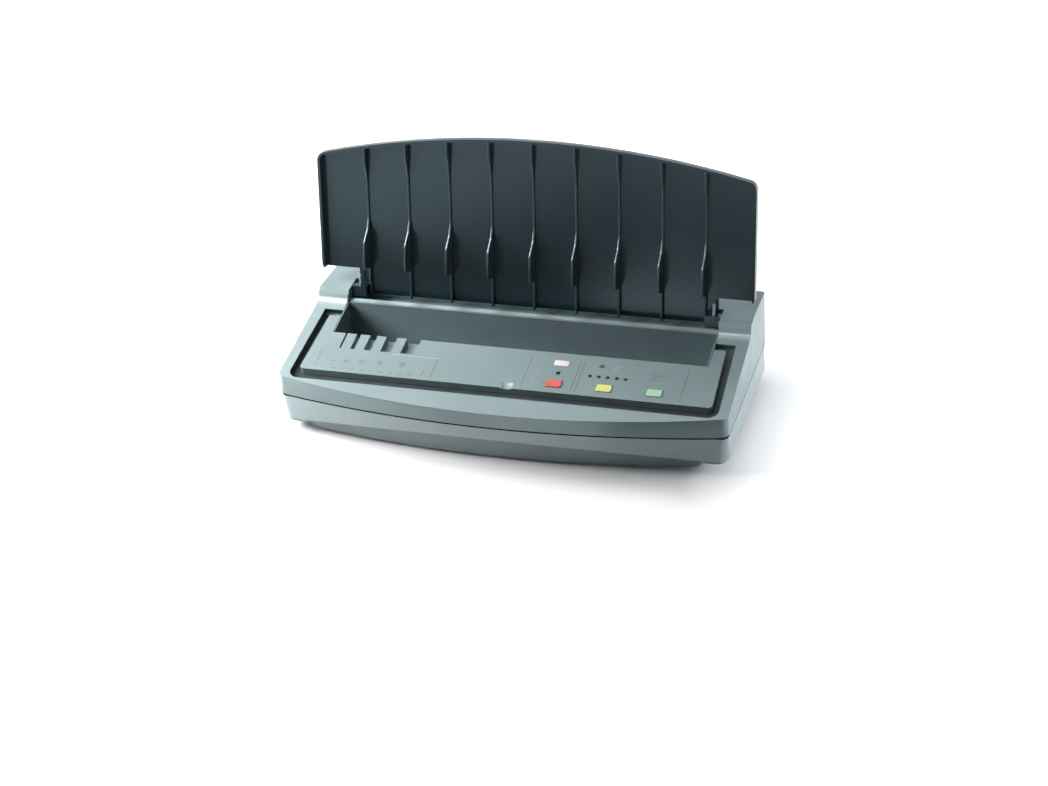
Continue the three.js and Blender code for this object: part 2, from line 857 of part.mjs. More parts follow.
function controlPanel() {
  const plan = roundedPlan(panelHalf, deckTaper, panelFront, tabRear, panelRadius, 1);
  let body = solid(raise(plan, skirtBottom, 0));
  const slots = gaugeSlots();
  const gaugeEnd = slots.at(-1)[1] + gaugeFinger;
  const cuts = [
    box(-tabInner, tabInner, troughFront, tabRear + overrun, skirtBottom - overrun, overrun),
    box(
      gaugeEnd,
      boardX0 - panelWall,
      panelFront + scoopPad,
      troughFront - panelWall,
      skirtBottom - overrun,
      -panelThickness,
    ),
    box(
      boardX0,
      panelHalf - panelWall - ledge,
      panelFront + panelWall,
      troughFront - panelWall,
      skirtBottom - overrun,
      -panelThickness,
    ),
  ];
  for (const [x0, x1] of slots) {
    cuts.push(box(x0, x1, troughFront - gaugeLength, troughFront + overrun, -gaugeDepth, overrun));
  }
  const through = -panelThickness - overrun;
  for (const x of controlXs) {
    const y = panelFront + buttonRow;
    const w = buttonWidth / 2 + clearance;
    const l = buttonLength / 2 + clearance;
    cuts.push(box(x - w, x + w, y - l, y + l, through, overrun));
  }
  const windowY = panelFront + windowRow;
  const w = windowWidth / 2 + clearance;
  const l = windowLength / 2 + clearance;
  cuts.push(box(controlXs[0] - w, controlXs[0] + w, windowY - l, windowY + l, through, overrun));
  const lightY = panelFront + lightRow;
  cuts.push(post(controlXs[0], lightY, through, overrun, statusRadius + clearance));
  for (let i = -2; i <= 2; i++) {
    const x = controlsCentre + i * lightPitch;
    cuts.push(post(x, lightY, through, overrun, lightRadius + clearance, fine / 2));
  }
  const scoop = new THREE.SphereGeometry(scoopRadius, fine, fine / 2);
  scoop.translate(scoopOffset, panelFront + scoopSetback, scoopRadius - scoopDepth);
  cuts.push(scoop);
  body = body.subtract(join(...cuts.map(solid)));
  for (const [x, y] of boardPosts) {
    body = body.add(solid(post(x, y, boardTop + clearance, -panelThickness / 2, postRadius)));
    const hole = post(
      x,
      y,
      boardTop - overrun,
      boardTop + smallScrewLength,
      smallScrewRadius + clearance,
      fine / 2,
    );
    body = body.subtract(solid(hole));
  }
  place(deck, "control_panel", body, panelGrey);
}

function buttons() {
  const names = [
    ["red_button", red],
    ["yellow_button", yellow],
    ["green_button", green],
  ];
  const y = panelFront + buttonRow;
  names.forEach(([name, material], i) => {
    const x = controlXs[i];
    const w = buttonWidth / 2;
    const l = buttonLength / 2;
    const flangeTop = -panelThickness - clearance;
    const flangeBottom = flangeTop - buttonFlange;
    const cap = solid(box(x - w, x + w, y - l, y + l, flangeBottom, buttonProud));
    const lip = buttonLipWidth;
    const flange = box(x - w - lip, x + w + lip, y - l - lip, y + l + lip, flangeBottom, flangeTop);
    const stem = post(x, y, flangeBottom - buttonStemLength, flangeBottom + buttonFlange / 2, buttonStem);
    place(deck, name, join(cap, solid(flange), solid(stem)), material);
    const base = boardTop + clearance;
    const s = switchSize / 2;
    const body = solid(box(x - s, x + s, y - s, y + s, base, base + switchHeight));
    const bore = post(x, y, base + switchFloor, base + switchHeight + overrun, buttonStem + clearance);
    place(deck, name.replace("button", "key_switch"), body.subtract(solid(bore)), blackPlastic);
  });
}

function indicators() {
  const top = -panelThickness - clearance;
  const x = controlXs[0];
  const windowY = panelFront + windowRow;
  const w = windowWidth / 2;
  const l = windowLength / 2;
  const pane = solid(box(x - w, x + w, windowY - l, windowY + l, top - lightBarThickness, windowProud));
  const rim = buttonLipWidth;
  const flange = solid(
    box(x - w - rim, x + w + rim, windowY - l - rim, windowY + l + rim, top - lightBarThickness, top),
  );
  place(deck, "indicator_window", pane.add(flange), white);
  const y = panelFront + lightRow;
  const status = solid(post(x, y, top - lightBarThickness, windowProud, statusRadius));
  const collar = post(x, y, top - lightBarThickness, top, lightBarWidth / 2);
  place(deck, "status_light", status.add(solid(collar)), clear);
  const reach = 2 * lightPitch + lightBarWidth / 2;
  let pipe = solid(
    box(
      controlsCentre - reach,
      controlsCentre + reach,
      y - lightBarWidth / 2,
      y + lightBarWidth / 2,
      top - lightBarThickness,
      top,
    ),
  );
  for (let i = -2; i <= 2; i++) {
    const at = controlsCentre + i * lightPitch;
    pipe = pipe.add(solid(post(at, y, top - lightBarThickness / 2, windowProud, lightRadius, fine / 2)));
  }
  place(deck, "gauge_light_pipe", pipe, clear);
}

function buttonBoard() {
  let board = solid(box(boardX0, boardX1, boardY0, boardY1, boardTop - boardThickness, boardTop));
  boardPosts.forEach(([x, y], i) => {
    const hole = smallScrewRadius + clearance;
    const under = boardTop - boardThickness;
    board = board.subtract(solid(post(x, y, under - overrun, boardTop + overrun, hole, fine / 2)));
    const head = under - clearance;
    const screw = solid(post(x, y, head - smallScrewHeadHeight, head, smallScrewHead, fine / 2));
    const shank = post(
      x,
      y,
      head - smallScrewHeadHeight / 2,
      head - smallScrewHeadHeight + smallScrewLength,
      smallScrewRadius,
      fine / 2,
    );
    place(deck, "board_screw_" + (i + 1), screw.add(solid(shank)), steel);
  });
  place(deck, "button_board", board, boardGreen);
}

// Cover in its own frame: x across, y back through the plate, z up from the hinge's axis
function coverArcHeight(x) {
  const radius = (coverHalf ** 2 + coverBow ** 2) / (2 * coverBow);
  return coverApex - radius + Math.sqrt(radius ** 2 - x ** 2);
}

function coverFace(inset) {
  const half = coverHalf - inset;
  const radius = (coverHalf ** 2 + coverBow ** 2) / (2 * coverBow) - inset;
  const centre = coverApex - inset - radius;
  const r = coverCornerRadius;
  const cornerX = half - r;
  const cornerZ = centre + Math.sqrt((radius - r) ** 2 - cornerX ** 2);
  const meet = Math.atan2(cornerX, cornerZ - centre);
  const bottom = coverShoulderGap + inset;
  const low = coverFootRadius - inset;
  const quarter = Math.PI / 2;
  const shape = new THREE.Shape();
  shape.absarc(half - low, bottom + low, low, -quarter, 0);
  shape.absarc(cornerX, cornerZ, r, 0, quarter - meet);
  for (let i = 1; i < bowSegments; i++) {
    const angle = quarter - meet + (2 * meet * i) / bowSegments;
    shape.lineTo(radius * Math.cos(angle), centre + radius * Math.sin(angle));
  }
  shape.absarc(-cornerX, cornerZ, r, quarter + meet, 2 * quarter);
  shape.absarc(-half + low, bottom + low, low, 2 * quarter, 3 * quarter);
  return shape;
}

// A front view of the cover run back from y0 to y1
function coverSlab(shape, y0, y1) {
  return runAlongY(shape, y0, y1, cornerSegments);
}

function ribProfile(top) {
  const near = (hingeY - troughRearY) / slopeCos + ribNearMargin;
  const far = (hingeY - troughFrontY) / slopeCos;
  const deepEnd = far - ribFarMargin;
  const root = plateOffset - clearance;
  const at = (ribDepth) => plateOffset - ribDepth;
  const shape = new THREE.Shape();
  shape.moveTo(root, ribFoot);
  shape.lineTo(at(ribLow), ribFoot);
  shape.lineTo(at(ribLow), near - ribStepSlant);
  shape.lineTo(at(ribDeep), near);
  shape.lineTo(at(ribDeep), (near + deepEnd) / 2);
  shape.lineTo(at(ribDeep - ribShallow), deepEnd);
  shape.lineTo(at(closedHeight - 2 * lipRest), far - lipRest);
  shape.lineTo(at(ribShallow), far + ribFarMargin);
  shape.lineTo(at(ribShallow), top - ribTopStart);
  shape.lineTo(at(lipDepth - lipRest), top - ribTopEnd);
  shape.lineTo(at(lipDepth - lipRest), top);
  shape.lineTo(root, top);
  return shape;
}

function coverShell() {
  const lipFace = plateOffset - lipDepth;
  const roundedSettings = {
    depth: plateOuter - lipFace,
    bevelThickness: coverEdge,
    bevelSize: coverEdge,
    bevelSegments: 2,
    curveSegments: cornerSegments,
  };
  const rounded = new THREE.ExtrudeGeometry(coverFace(coverEdge), roundedSettings);
  rounded.rotateX(Math.PI / 2).translate(0, plateOuter - coverEdge, 0);
  const before = box(-width, width, lipFace - depth, lipFace, -depth, 2 * depth);
  const outer = solid(rounded).subtract(solid(before));
  const hollow = solid(coverSlab(coverFace(lipWall), lipFace - overrun, plateOffset));
  const middleTop = coverShoulderGap + coverCornerRadius + lipWall;
  const middleShape = shapeOf([
    [-coverInnerHalf, coverFoot],
    [coverInnerHalf, coverFoot],
    [coverInnerHalf, middleTop],
    [-coverInnerHalf, middleTop],
  ]);
  const middlePlate = solid(coverSlab(middleShape, plateOffset, plateOuter));
  const lipEnd = coverHalf - lipWall; // the lip stops here, so the lower edges over the shoulders have none
  const lipGap = shapeOf([
    [-lipEnd, coverFoot],
    [lipEnd, coverFoot],
    [lipEnd, middleTop],
    [-lipEnd, middleTop],
  ]);
  const lipCut = solid(coverSlab(lipGap, lipFace - overrun, plateOffset));
  let shell = outer.subtract(join(hollow, lipCut)).add(middlePlate);
  for (const [, side] of bothSides) {
    const end = side * (shoulderInner - clearance);
    const start = side * (shoulderInner - clearance - pinHold - wall);
    const low = Math.min(start, end);
    const high = Math.max(start, end);
    const barrel = solid(box(low, high, -knuckleRadius, plateOffset, -knuckleRadius, knuckleRadius));
    const pegX = (low + high) / 2;
    const peg = solid(post(pegX, 0, knuckleRadius - pegRadius, knuckleRadius + pegHeight, pegRadius));
    const edge = side * coverInnerHalf;
    const web = box(
      Math.min(start, edge),
      Math.max(start, edge),
      0,
      plateOffset + plateThickness / 2,
      coverFoot,
      knuckleRadius,
    );
    const borePad = side * (shoulderInner + overrun);
    const boreStart = side * (shoulderInner - clearance - pinHold - clearance);
    const bore = axle(
      Math.min(boreStart, borePad),
      Math.max(boreStart, borePad),
      0,
      0,
      pinRadius + clearance,
    );
    shell = shell.add(join(barrel, solid(web))).subtract(solid(bore)).add(peg);
  }
  place(cover, "cover", shell, slate);
}

function coverRibs() {
  for (let i = 0; i < ribCount; i++) {
    const x = (i - (ribCount - 1) / 2) * ribPitch;
    const top = coverArcHeight(Math.abs(x) + ribThickness / 2) - lipWall - 2 * clearance;
    const rib = runAlongX(ribProfile(top), x - ribThickness / 2, x + ribThickness / 2);
    place(cover, "cover_rib_" + (i + 1), solid(rib), slate);
  }
}

function hinges() {
  for (const [name, side] of bothSides) {
    const inner = side * (shoulderInner - clearance - pinHold);
    const outer = side * (shoulderInner + pinReach);
    const pin = axle(Math.min(inner, outer), Math.max(inner, outer), 0, 0, pinRadius);
    place(cover, "hinge_pin_" + name, solid(pin), steel);
    const bushStart = side * (shoulderInner + clearance);
    const bushEnd = side * (shoulderInner + pinReach - clearance);
    const low = Math.min(bushStart, bushEnd);
    const high = Math.max(bushStart, bushEnd);
    const sleeve = solid(axle(low, high, hingeY, hingeZ, pinRadius + clearance + bushWall));
    const bore = axle(low - overrun, high + overrun, hingeY, hingeZ, pinRadius + clearance);
    place(machine, "hinge_bush_" + name, sleeve.subtract(solid(bore)), nylon);
  }
}

function feetAndScrews() {
  for (const [name, side, end] of fourCorners) {
    const [fx, fy] = footPlace(side, end);
    const pad = solid(post(fx, fy, 0, bellyHeight - clearance, footRadius));
    const plug = post(fx, fy, bellyHeight / 2, bellyHeight + footPlugHeight, footPlugRadius);
    place(machine, "rubber_foot_" + name, pad.add(solid(plug)), rubber);
    const [x, y] = bossPlace(side, end);
    const head = skirtHeight + clearance;
    const screw = solid(post(x, y, head, head + screwHeadHeight - clearance, screwHeadRadius));
    const shank = post(x, y, head + screwHeadHeight / 2, head + screwHeadHeight + screwLength, screwRadius);
    place(machine, "casing_screw_" + name, screw.add(solid(shank)), steel);
  }
}

// Main board, transformer, buzzer and mains inlet in the base
const mainBoardZ = lowerFloor + mainBoardGap;
const mainBoardX1 = halfWidth - mainBoardInset;
const mainBoardX0 = mainBoardX1 - mainBoardWidth;
const mainBoardY0 = frontY + mainBoardInsetFront;
const mainBoardY1 = mainBoardY0 + mainBoardLength;
const mainBoardPosts = [];
for (const x of [mainBoardX0 + postInset, mainBoardX1 - postInset]) {
  mainBoardPosts.push([x, mainBoardY0 + postInset], [x, mainBoardY1 - postInset]);
}

function electrics() {
  let board = solid(
    box(mainBoardX0, mainBoardX1, mainBoardY0, mainBoardY1, mainBoardZ, mainBoardZ + boardThickness),
  );
  mainBoardPosts.forEach(([x, y], i) => {
    const top = mainBoardZ + boardThickness;
    const hole = smallScrewRadius + clearance;
    board = board.subtract(solid(post(x, y, mainBoardZ - overrun, top + overrun, hole, fine / 2)));
    const seat = top + clearance;
    const head = solid(post(x, y, seat, seat + smallScrewHeadHeight, smallScrewHead, fine / 2));
    const tip = seat + smallScrewHeadHeight - smallScrewLength;
    const shank = post(x, y, tip, seat + smallScrewHeadHeight / 2, smallScrewRadius, fine / 2);
    place(machine, "main_board_screw_" + (i + 1), head.add(solid(shank)), steel);
  });
  place(machine, "main_board", board, boardGreen);
  const seat = mainBoardZ + boardThickness + clearance;
  const middleY = (mainBoardY0 + mainBoardY1) / 2;
  const transformerX = mainBoardX0 + 2 * postInset + transformerWidth / 2;
  const core = box(
    transformerX - transformerWidth / 2,
    transformerX + transformerWidth / 2,
    middleY - transformerLength / 3,
    middleY + transformerLength / 3,
    seat,
    seat + transformerHeight,
  );
  const winding = box(
    transformerX - transformerWidth / 3,
    transformerX + transformerWidth / 3,
    middleY - transformerLength / 2,
    middleY + transformerLength / 2,
    seat + transformerHeight / 5,
    seat + (4 * transformerHeight) / 5,
  );
  place(machine, "transformer", solid(core).add(solid(winding)), steel);
  const buzzerX = mainBoardX1 - 2 * postInset - 2 * buzzerRadius;
  const buzzer = post(buzzerX, middleY, seat, seat + buzzerHeight, buzzerRadius);
  place(machine, "buzzer", solid(buzzer), blackPlastic);
}

function mainsInlet() {
  const w = inletWidth / 2;
  const h = inletHeight / 2;
  const face = rearY - lowerInset;
  const front = face - inletDepth;
  const body = solid(box(inletX - w, inletX + w, front, face, inletZ - h, inletZ + h));
  const inside = rearY - lowerWall - clearance;
  const flange = box(
    inletX - w - inletFlange,
    inletX + w + inletFlange,
    inside - inletFlangeThickness,
    inside,
    inletZ - h,
    inletZ + h,
  );
  const back = face - inletCavity;
  const cavity = box(
    inletX - w + inletWall,
    inletX + w - inletWall,
    back,
    face + overrun,
    inletZ - h + inletWall,
    inletZ + h - inletWall,
  );
  let inlet = body.add(solid(flange)).subtract(solid(cavity));
  for (const step of [-1, 0, 1]) {
    const x = inletX + step * inletPinPitch;
    const z = inletZ + (step === 0 ? inletPinHeight / 2 : -inletPinHeight / 2);
    const pin = box(
      x - inletPinWidth / 2,
      x + inletPinWidth / 2,
      back - inletWall / 2,
      back + inletPinLength,
      z - inletPinHeight / 2,
      z + inletPinHeight / 2,
    );
    inlet = inlet.add(solid(pin));
  }
  place(machine, "mains_inlet", inlet, blackPlastic);
}

lowerCasing();
upperCasing();
controlPanel();
buttons();
indicators();
buttonBoard();
troughLiner();
heater();
coverShell();
coverRibs();
hinges();
feetAndScrews();
electrics();
mainsInlet();

export default machine;
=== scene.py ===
import math

import bmesh
import bpy
from mathutils import Matrix, Vector


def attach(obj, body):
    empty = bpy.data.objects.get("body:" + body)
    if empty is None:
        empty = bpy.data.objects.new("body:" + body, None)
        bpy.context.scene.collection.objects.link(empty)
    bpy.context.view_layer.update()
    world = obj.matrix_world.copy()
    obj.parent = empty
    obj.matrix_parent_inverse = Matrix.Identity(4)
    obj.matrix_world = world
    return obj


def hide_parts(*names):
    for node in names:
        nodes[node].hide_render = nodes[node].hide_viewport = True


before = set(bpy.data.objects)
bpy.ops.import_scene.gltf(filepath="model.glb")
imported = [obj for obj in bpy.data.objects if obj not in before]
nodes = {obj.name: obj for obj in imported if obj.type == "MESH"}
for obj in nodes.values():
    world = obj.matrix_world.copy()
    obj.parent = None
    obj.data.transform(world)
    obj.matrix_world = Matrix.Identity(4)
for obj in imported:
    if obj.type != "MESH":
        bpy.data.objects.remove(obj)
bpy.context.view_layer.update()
print("frame loaded:", len(nodes), "nodes")

mm = 0.001
tau = 2 * math.pi

# The deck's own frame: x across, y up the slope from the middle of the front, z out of the deck
deck = {"frontY": -100.0, "rimZ": 51.0, "slope": 12.75}
deckMatrix = (Matrix.Translation((0, deck["frontY"] * mm, deck["rimZ"] * mm))
              @ Matrix.Rotation(math.radians(deck["slope"]), 4, "X"))

# The cover's own frame, round the hinge's axis
hinge = {"y": 44.928, "z": 85.994, "lean": 8.0}
coverMatrix = (Matrix.Translation((0, hinge["y"] * mm, hinge["z"] * mm))
               @ Matrix.Rotation(math.radians(-hinge["lean"]), 4, "X"))

# The photograph's camera, worked out from the deck's corners
camera = {"place": (607.2, -1799.6, 1086.8), "yaw": 18.64, "pitch": 29.39, "roll": -3.77,
          "focal": 2358.7, "imageWidth": 1048, "sensor": 36.0, "near": 0.05, "far": 60.0}


def makeCamera():
    yaw, pitch, roll = (math.radians(camera[k]) for k in ("yaw", "pitch", "roll"))
    forward = Vector((-math.sin(yaw) * math.cos(pitch), math.cos(yaw) * math.cos(pitch), -math.sin(pitch)))
    level = Vector((math.cos(yaw), math.sin(yaw), 0))
    upright = level.cross(forward)
    right = math.cos(roll) * level + math.sin(roll) * upright
    up = -math.sin(roll) * level + math.cos(roll) * upright
    turn = Matrix((right, up, -forward)).transposed().to_4x4()
    data = bpy.data.cameras.new("photoCamera")
    data.sensor_width = camera["sensor"]
    data.lens = camera["focal"] / camera["imageWidth"] * camera["sensor"]
    data.clip_start = camera["near"]
    data.clip_end = camera["far"]
    seen = bpy.data.objects.new("photoCamera", data)
    bpy.context.scene.collection.objects.link(seen)
    seen.matrix_world = Matrix.Translation(Vector(camera["place"]) * mm) @ turn
    bpy.context.scene.camera = seen


makeCamera()
print("camera placed")


# Short forms for building a node tree
def feed(node, values):
    # an input takes a plain value, another node's output, or a list of outputs
    for name, value in values.items():
        for source in value if isinstance(value, list) else [value]:
            if isinstance(source, bpy.types.NodeSocket):
                node.id_data.links.new(source, node.inputs[name])
            else:
                node.inputs[name].default_value = source


def step(tree, kind, values=None, **settings):
    node = tree.nodes.new(kind)
    for setting, value in settings.items():
        setattr(node, setting, value)
    feed(node, values or {})
    return node.outputs


def maths(operation, *values):
    tree = next(value for value in values if isinstance(value, bpy.types.NodeSocket)).id_data
    return step(tree, "ShaderNodeMath", dict(enumerate(values)), operation=operation)[0]


def plus(*values):
    return maths("ADD", *values)


def minus(*values):
    return maths("SUBTRACT", *values)


def times(*values):
    return maths("MULTIPLY", *values)


# How a finish is built up
def linear(color):
    return tuple((c / 255 / 12.92 if c / 255 <= 0.04045 else ((c / 255 + 0.055) / 1.055) ** 2.4)
                 for c in color) + (1,)


def shade(color, share):
    return tuple(min(1.0, c * share) for c in color[:3]) + (1,)


def tinted(color, amount):
    return shade(color, 1 - amount), shade(color, 1 + amount)


def newMaterial(name):
    material = bpy.data.materials.new(name)
    material.use_nodes = True
    tree = material.node_tree
    return material, tree, tree.nodes["Principled BSDF"]


def objectPlace(tree, stretch=None):
    place = step(tree, "ShaderNodeTexCoord")["Object"]
    if stretch is None:
        return place
    return step(tree, "ShaderNodeMapping", {"Vector": place, "Scale": stretch})["Vector"]


def axes(place):
    return step(place.id_data, "ShaderNodeSeparateXYZ", {"Vector": place})


def noise(place, scale, detail=2.0):
    return step(place.id_data, "ShaderNodeTexNoise", {"Vector": place, "Scale": scale, "Detail": detail})["Fac"]


def spread(value, low, high, fromLow=0.3, fromHigh=0.7):
    limits = {"From Min": fromLow, "From Max": fromHigh, "To Min": low, "To Max": high}
    return step(value.id_data, "ShaderNodeMapRange", dict(limits, Value=value))["Result"]


def blendColors(amount, first, second):
    return step(amount.id_data, "ShaderNodeMix", {"Factor": amount, 6: first, 7: second}, data_type="RGBA")[2]


def wearAndGlint(place, edge):
    # How much an edge is lightened, partly rubbed wear and partly a painted highlight along the rounded edge: nothing
    # on a flat face, broken up by a cloudy pattern
    tree = place.id_data
    rounded = step(tree, "ShaderNodeBevel", {"Radius": edge["reach"] * mm}, samples=4)["Normal"]
    flat = step(tree, "ShaderNodeNewGeometry")["True Normal"]
    alike = step(tree, "ShaderNodeVectorMath", {0: rounded, 1: flat}, operation="DOT_PRODUCT")["Value"]
    return times(spread(alike, 1, 0, edge["from"], edge["to"]),
                 spread(noise(place, edge["breakUp"]), edge["least"], 1))


# rubbed edges and their painted highlight: how far the rounding reaches and how sharply the lightening sets in
edgeWearAndGlint = {"reach": 0.7, "from": 0.9, "to": 0.992, "breakUp": 70, "least": 0.35}


def graze(shader, height, depth, strength=1.0):
    bump = step(shader.id_data, "ShaderNodeBump", {"Distance": depth * mm, "Strength": strength, "Height": height})
    feed(shader, {"Normal": bump["Normal"]})


# What every moulded finish starts from; its own look adds to this or overrules it
moulding = {"speckShade": 1.35, "specksWhere": (0.5, 0.75), "rubShade": 1.6, "rubShine": 0.08, "swing": 0.05,
            "roughClouds": 2.3, "shine": 0.5, "shineTint": (255, 255, 255), "metal": 0.0}


def mouldedPlastic(name, look, hollow=None, seam=None):
    # look: color, rough, grain (mm), grainDepth (mm), cloud (mm), tint, speck, the share of rubbed edges with their
    # painted highlight, and any of the settings above
    # hollow: the channel's painted shade, a darker colour in the sunken channel that stands in for the shade there;
    # seam: the heights in mm between which a joint line lies in shadow, painted dark
    look = dict(moulding, **look)
    material, tree, shader = newMaterial(name)
    place = objectPlace(tree)
    base = linear(look["color"])
    cloud = spread(noise(place, 1 / (look["cloud"] * mm), detail=4), 0, 1)
    color = blendColors(cloud, *tinted(base, look["tint"]))
    specks = spread(noise(place, 1 / (look["grain"] * mm), detail=1), 0, look["speck"], *look["specksWhere"])
    color = blendColors(specks, color, shade(base, look["speckShade"]))
    # painted highlight: the rounded edges are lightened, partly as rubbed wear and partly as a painted highlight line
    rubbed = wearAndGlint(place, edgeWearAndGlint)
    color = blendColors(times(rubbed, look["rub"]), color, shade(base, look["rubShade"]))
    rough = spread(noise(place, look["roughClouds"] / (look["cloud"] * mm), detail=3),
                   look["rough"] - look["swing"], look["rough"] + look["swing"])
    # painted shade: the sunken channel is painted darker where shade falls in it
    if hollow:
        shadedArea = channelShadeMask(place, hollow)
        deep = blendColors(cloud, *tinted(linear(hollow["color"]), look["tint"]))
        color = blendColors(shadedArea, color, deep)
        rough = plus(rough, times(shadedArea, hollow["rough"] - look["rough"]))
    # painted shadow: the joint and the shade in the seam's groove are painted dark
    if seam:
        shadow = seamShadowMask(place, seam)
        color = blendColors(shadow, color, linear(seam["color"]))
        rough = maths("MAXIMUM", rough, shadow)
    feed(shader, {"Base Color": color, "Roughness": minus(rough, times(rubbed, look["rubShine"])),
                  "Specular IOR Level": look["shine"], "Specular Tint": linear(look["shineTint"]),
                  "Metallic": look["metal"]})
    graze(shader, noise(place, 1 / (look["grain"] * mm)), look["grainDepth"])
    return material


def seamShadowMask(place, seam):
    # 1 between the seam's heights, which part round the corners towards the machine's two ends; there the joint and
    # the shade in its groove are painted dark
    x, _, z = axes(place)
    wider = spread(maths("ABSOLUTE", x), 0, seam["wider"] * mm, *(v * mm for v in seam["corner"]))
    above = maths("GREATER_THAN", z, minus(seam["low"] * mm, wider))
    return times(above, maths("LESS_THAN", z, plus(seam["high"] * mm, wider)))


def channelShadeMask(place, channelShade):
    # Painted shade: 1 inside the sunken channel round the control panel, where shade falls, 0 elsewhere
    x, y, z = axes(place)
    slope = math.tan(math.radians(deck["slope"]))
    above = minus(z, plus(times(y, slope), (deck["rimZ"] - deck["frontY"] * slope) * mm))
    shadedArea = maths("LESS_THAN", above, -channelShade["rounding"] * mm)
    for other in (maths("GREATER_THAN", above, -channelShade["floor"] * mm),
                  maths("LESS_THAN", maths("ABSOLUTE", x), channelShade["half"] * mm),
                  maths("GREATER_THAN", y, channelShade["front"] * mm),
                  maths("LESS_THAN", y, channelShade["rear"] * mm)):
        shadedArea = times(shadedArea, other)
    # painted light: on the right the channel's painted shade fades towards the rear, where light reaches its floor
    paintedLight = times(spread(y, 0, channelShade["paintedLight"], *(v * mm for v in channelShade["paintedLightAlong"])), maths("GREATER_THAN", x, 0))
    return times(shadedArea, minus(1, paintedLight))


def smallPlastic(name, **own):
    return mouldedPlastic(name, dict(keyPlastic, **own))


# the channel's painted shade: where it lies, its dark colour and roughness, and the painted light that fades it
# towards the rear on the right
channelShade = {"rounding": 0.75, "floor": 9.0, "half": 201.2, "front": -78.4, "rear": 18.5, "paintedLight": 0.35,
           "paintedLightAlong": (-45, 5), "color": (40, 51, 55), "rough": 0.45}
# painted shadow along the seam: a dark band over the joint and the faces beside it, wider at the ends
seamShadowBand = {"low": 35.6, "high": 37.4, "corner": (198, 208), "wider": 0.5, "color": (20, 28, 31)}
# the casing's lightened edges are partly rubbed wear and partly a painted highlight line along its rounded edges
casingPlastic = {"color": (138, 156, 159), "rough": 0.33, "grain": 0.9, "grainDepth": 0.018, "cloud": 60,
                 "tint": 0.035, "speck": 0.12, "rub": 1.0, "metal": 0.22}
baseColor = (166, 182, 186)
panelPlastic = {"color": (126, 144, 146), "rough": 0.40, "grain": 0.7, "grainDepth": 0.016, "cloud": 45,
                "tint": 0.04, "speck": 0.08, "rub": 0.5, "metal": 0.2}
# the cover's broad cloudy tone is partly random tone and partly painted reflection, soft light patches over the dark
# plastic
coverPlastic = {"color": (12, 26, 32), "rough": 0.22, "grain": 0.8, "grainDepth": 0.0015, "cloud": 140,
                "tint": 0.14, "swing": 0.015, "speck": 0.02, "rub": 0.8, "rubShade": 3.5, "shine": 0.9,
                "shineTint": (215, 244, 255)}
# the ribs: the cover plastic with strongly lightened edges, a painted highlight along the ribs' crests
ribPlastic = dict(coverPlastic, rub=1.0, rubShade=4.5, rough=0.3)
troughPlastic = {"color": (100, 117, 122), "rough": 0.42, "grain": 0.9, "grainDepth": 0.016, "cloud": 50,
                 "tint": 0.06, "speck": 0.06, "rub": 0.3, "shine": 0.4}
keyPlastic = {"rough": 0.38, "grain": 0.5, "grainDepth": 0.008, "cloud": 6, "tint": 0.04, "speck": 0.08, "rub": 0.3}
keyColors = {"red": (232, 98, 84), "yellow": (232, 240, 134), "green": (182, 226, 193)}

silver = mouldedPlastic("silver grey casing plastic", casingPlastic, channelShade, seamShadowBand)
silverBase = mouldedPlastic("lower casing plastic", dict(casingPlastic, color=baseColor), seam=seamShadowBand)
panelGrey = mouldedPlastic("control panel plastic", panelPlastic)
smokeGrey = mouldedPlastic("cover plastic", coverPlastic)
ribGrey = mouldedPlastic("cover rib plastic", ribPlastic)
troughGrey = mouldedPlastic("trough plastic", troughPlastic)
windowWhite = smallPlastic("indicator window plastic", color=(240, 234, 240), rough=0.3)
lensDark = smallPlastic("unlit lamp lens", color=(16, 26, 29), rough=0.55, shine=0.2)
pipeClear = smallPlastic("light pipe plastic", color=(196, 206, 208), rough=0.25)
switchBlack = smallPlastic("key switch plastic", color=(34, 36, 38), rough=0.45)
plainBlack = smallPlastic("black moulded plastic", color=(30, 31, 33), rough=0.5, grain=0.8, cloud=14)
bushNylon = smallPlastic("bush nylon", color=(224, 220, 206), rough=0.5, cloud=8)
footRubber = smallPlastic("foot rubber", color=(38, 39, 40), rough=0.82, grain=0.6, grainDepth=0.05, cloud=7,
                          tint=0.12, shine=0.3)
inkGrey = smallPlastic("printed line ink", color=(70, 84, 88), rough=0.55, cloud=5, tint=0.15, rub=0)
inkDark = smallPlastic("dark printed ink", color=(40, 56, 60), rough=0.5, cloud=4, tint=0.12, rub=0)
# light ink for printed marks, also used for a painted highlight line and painted glints
lightInkAndHighlight = smallPlastic("light print and painted highlight ink", color=(176, 190, 191), rough=0.55, cloud=4, tint=0.08, rub=0)

# What all bare metals share: stains, light streaks and rubbed edges, as shares of the colour
metalWear = {"stainScale": 40, "stains": (0.82, 1.08), "streaks": 0.35, "streakShade": 1.25, "reach": 0.3,
             "rub": 0.4, "rubShade": 1.4, "smoother": 0.08, "rougher": 0.1, "scratch": 0.6}


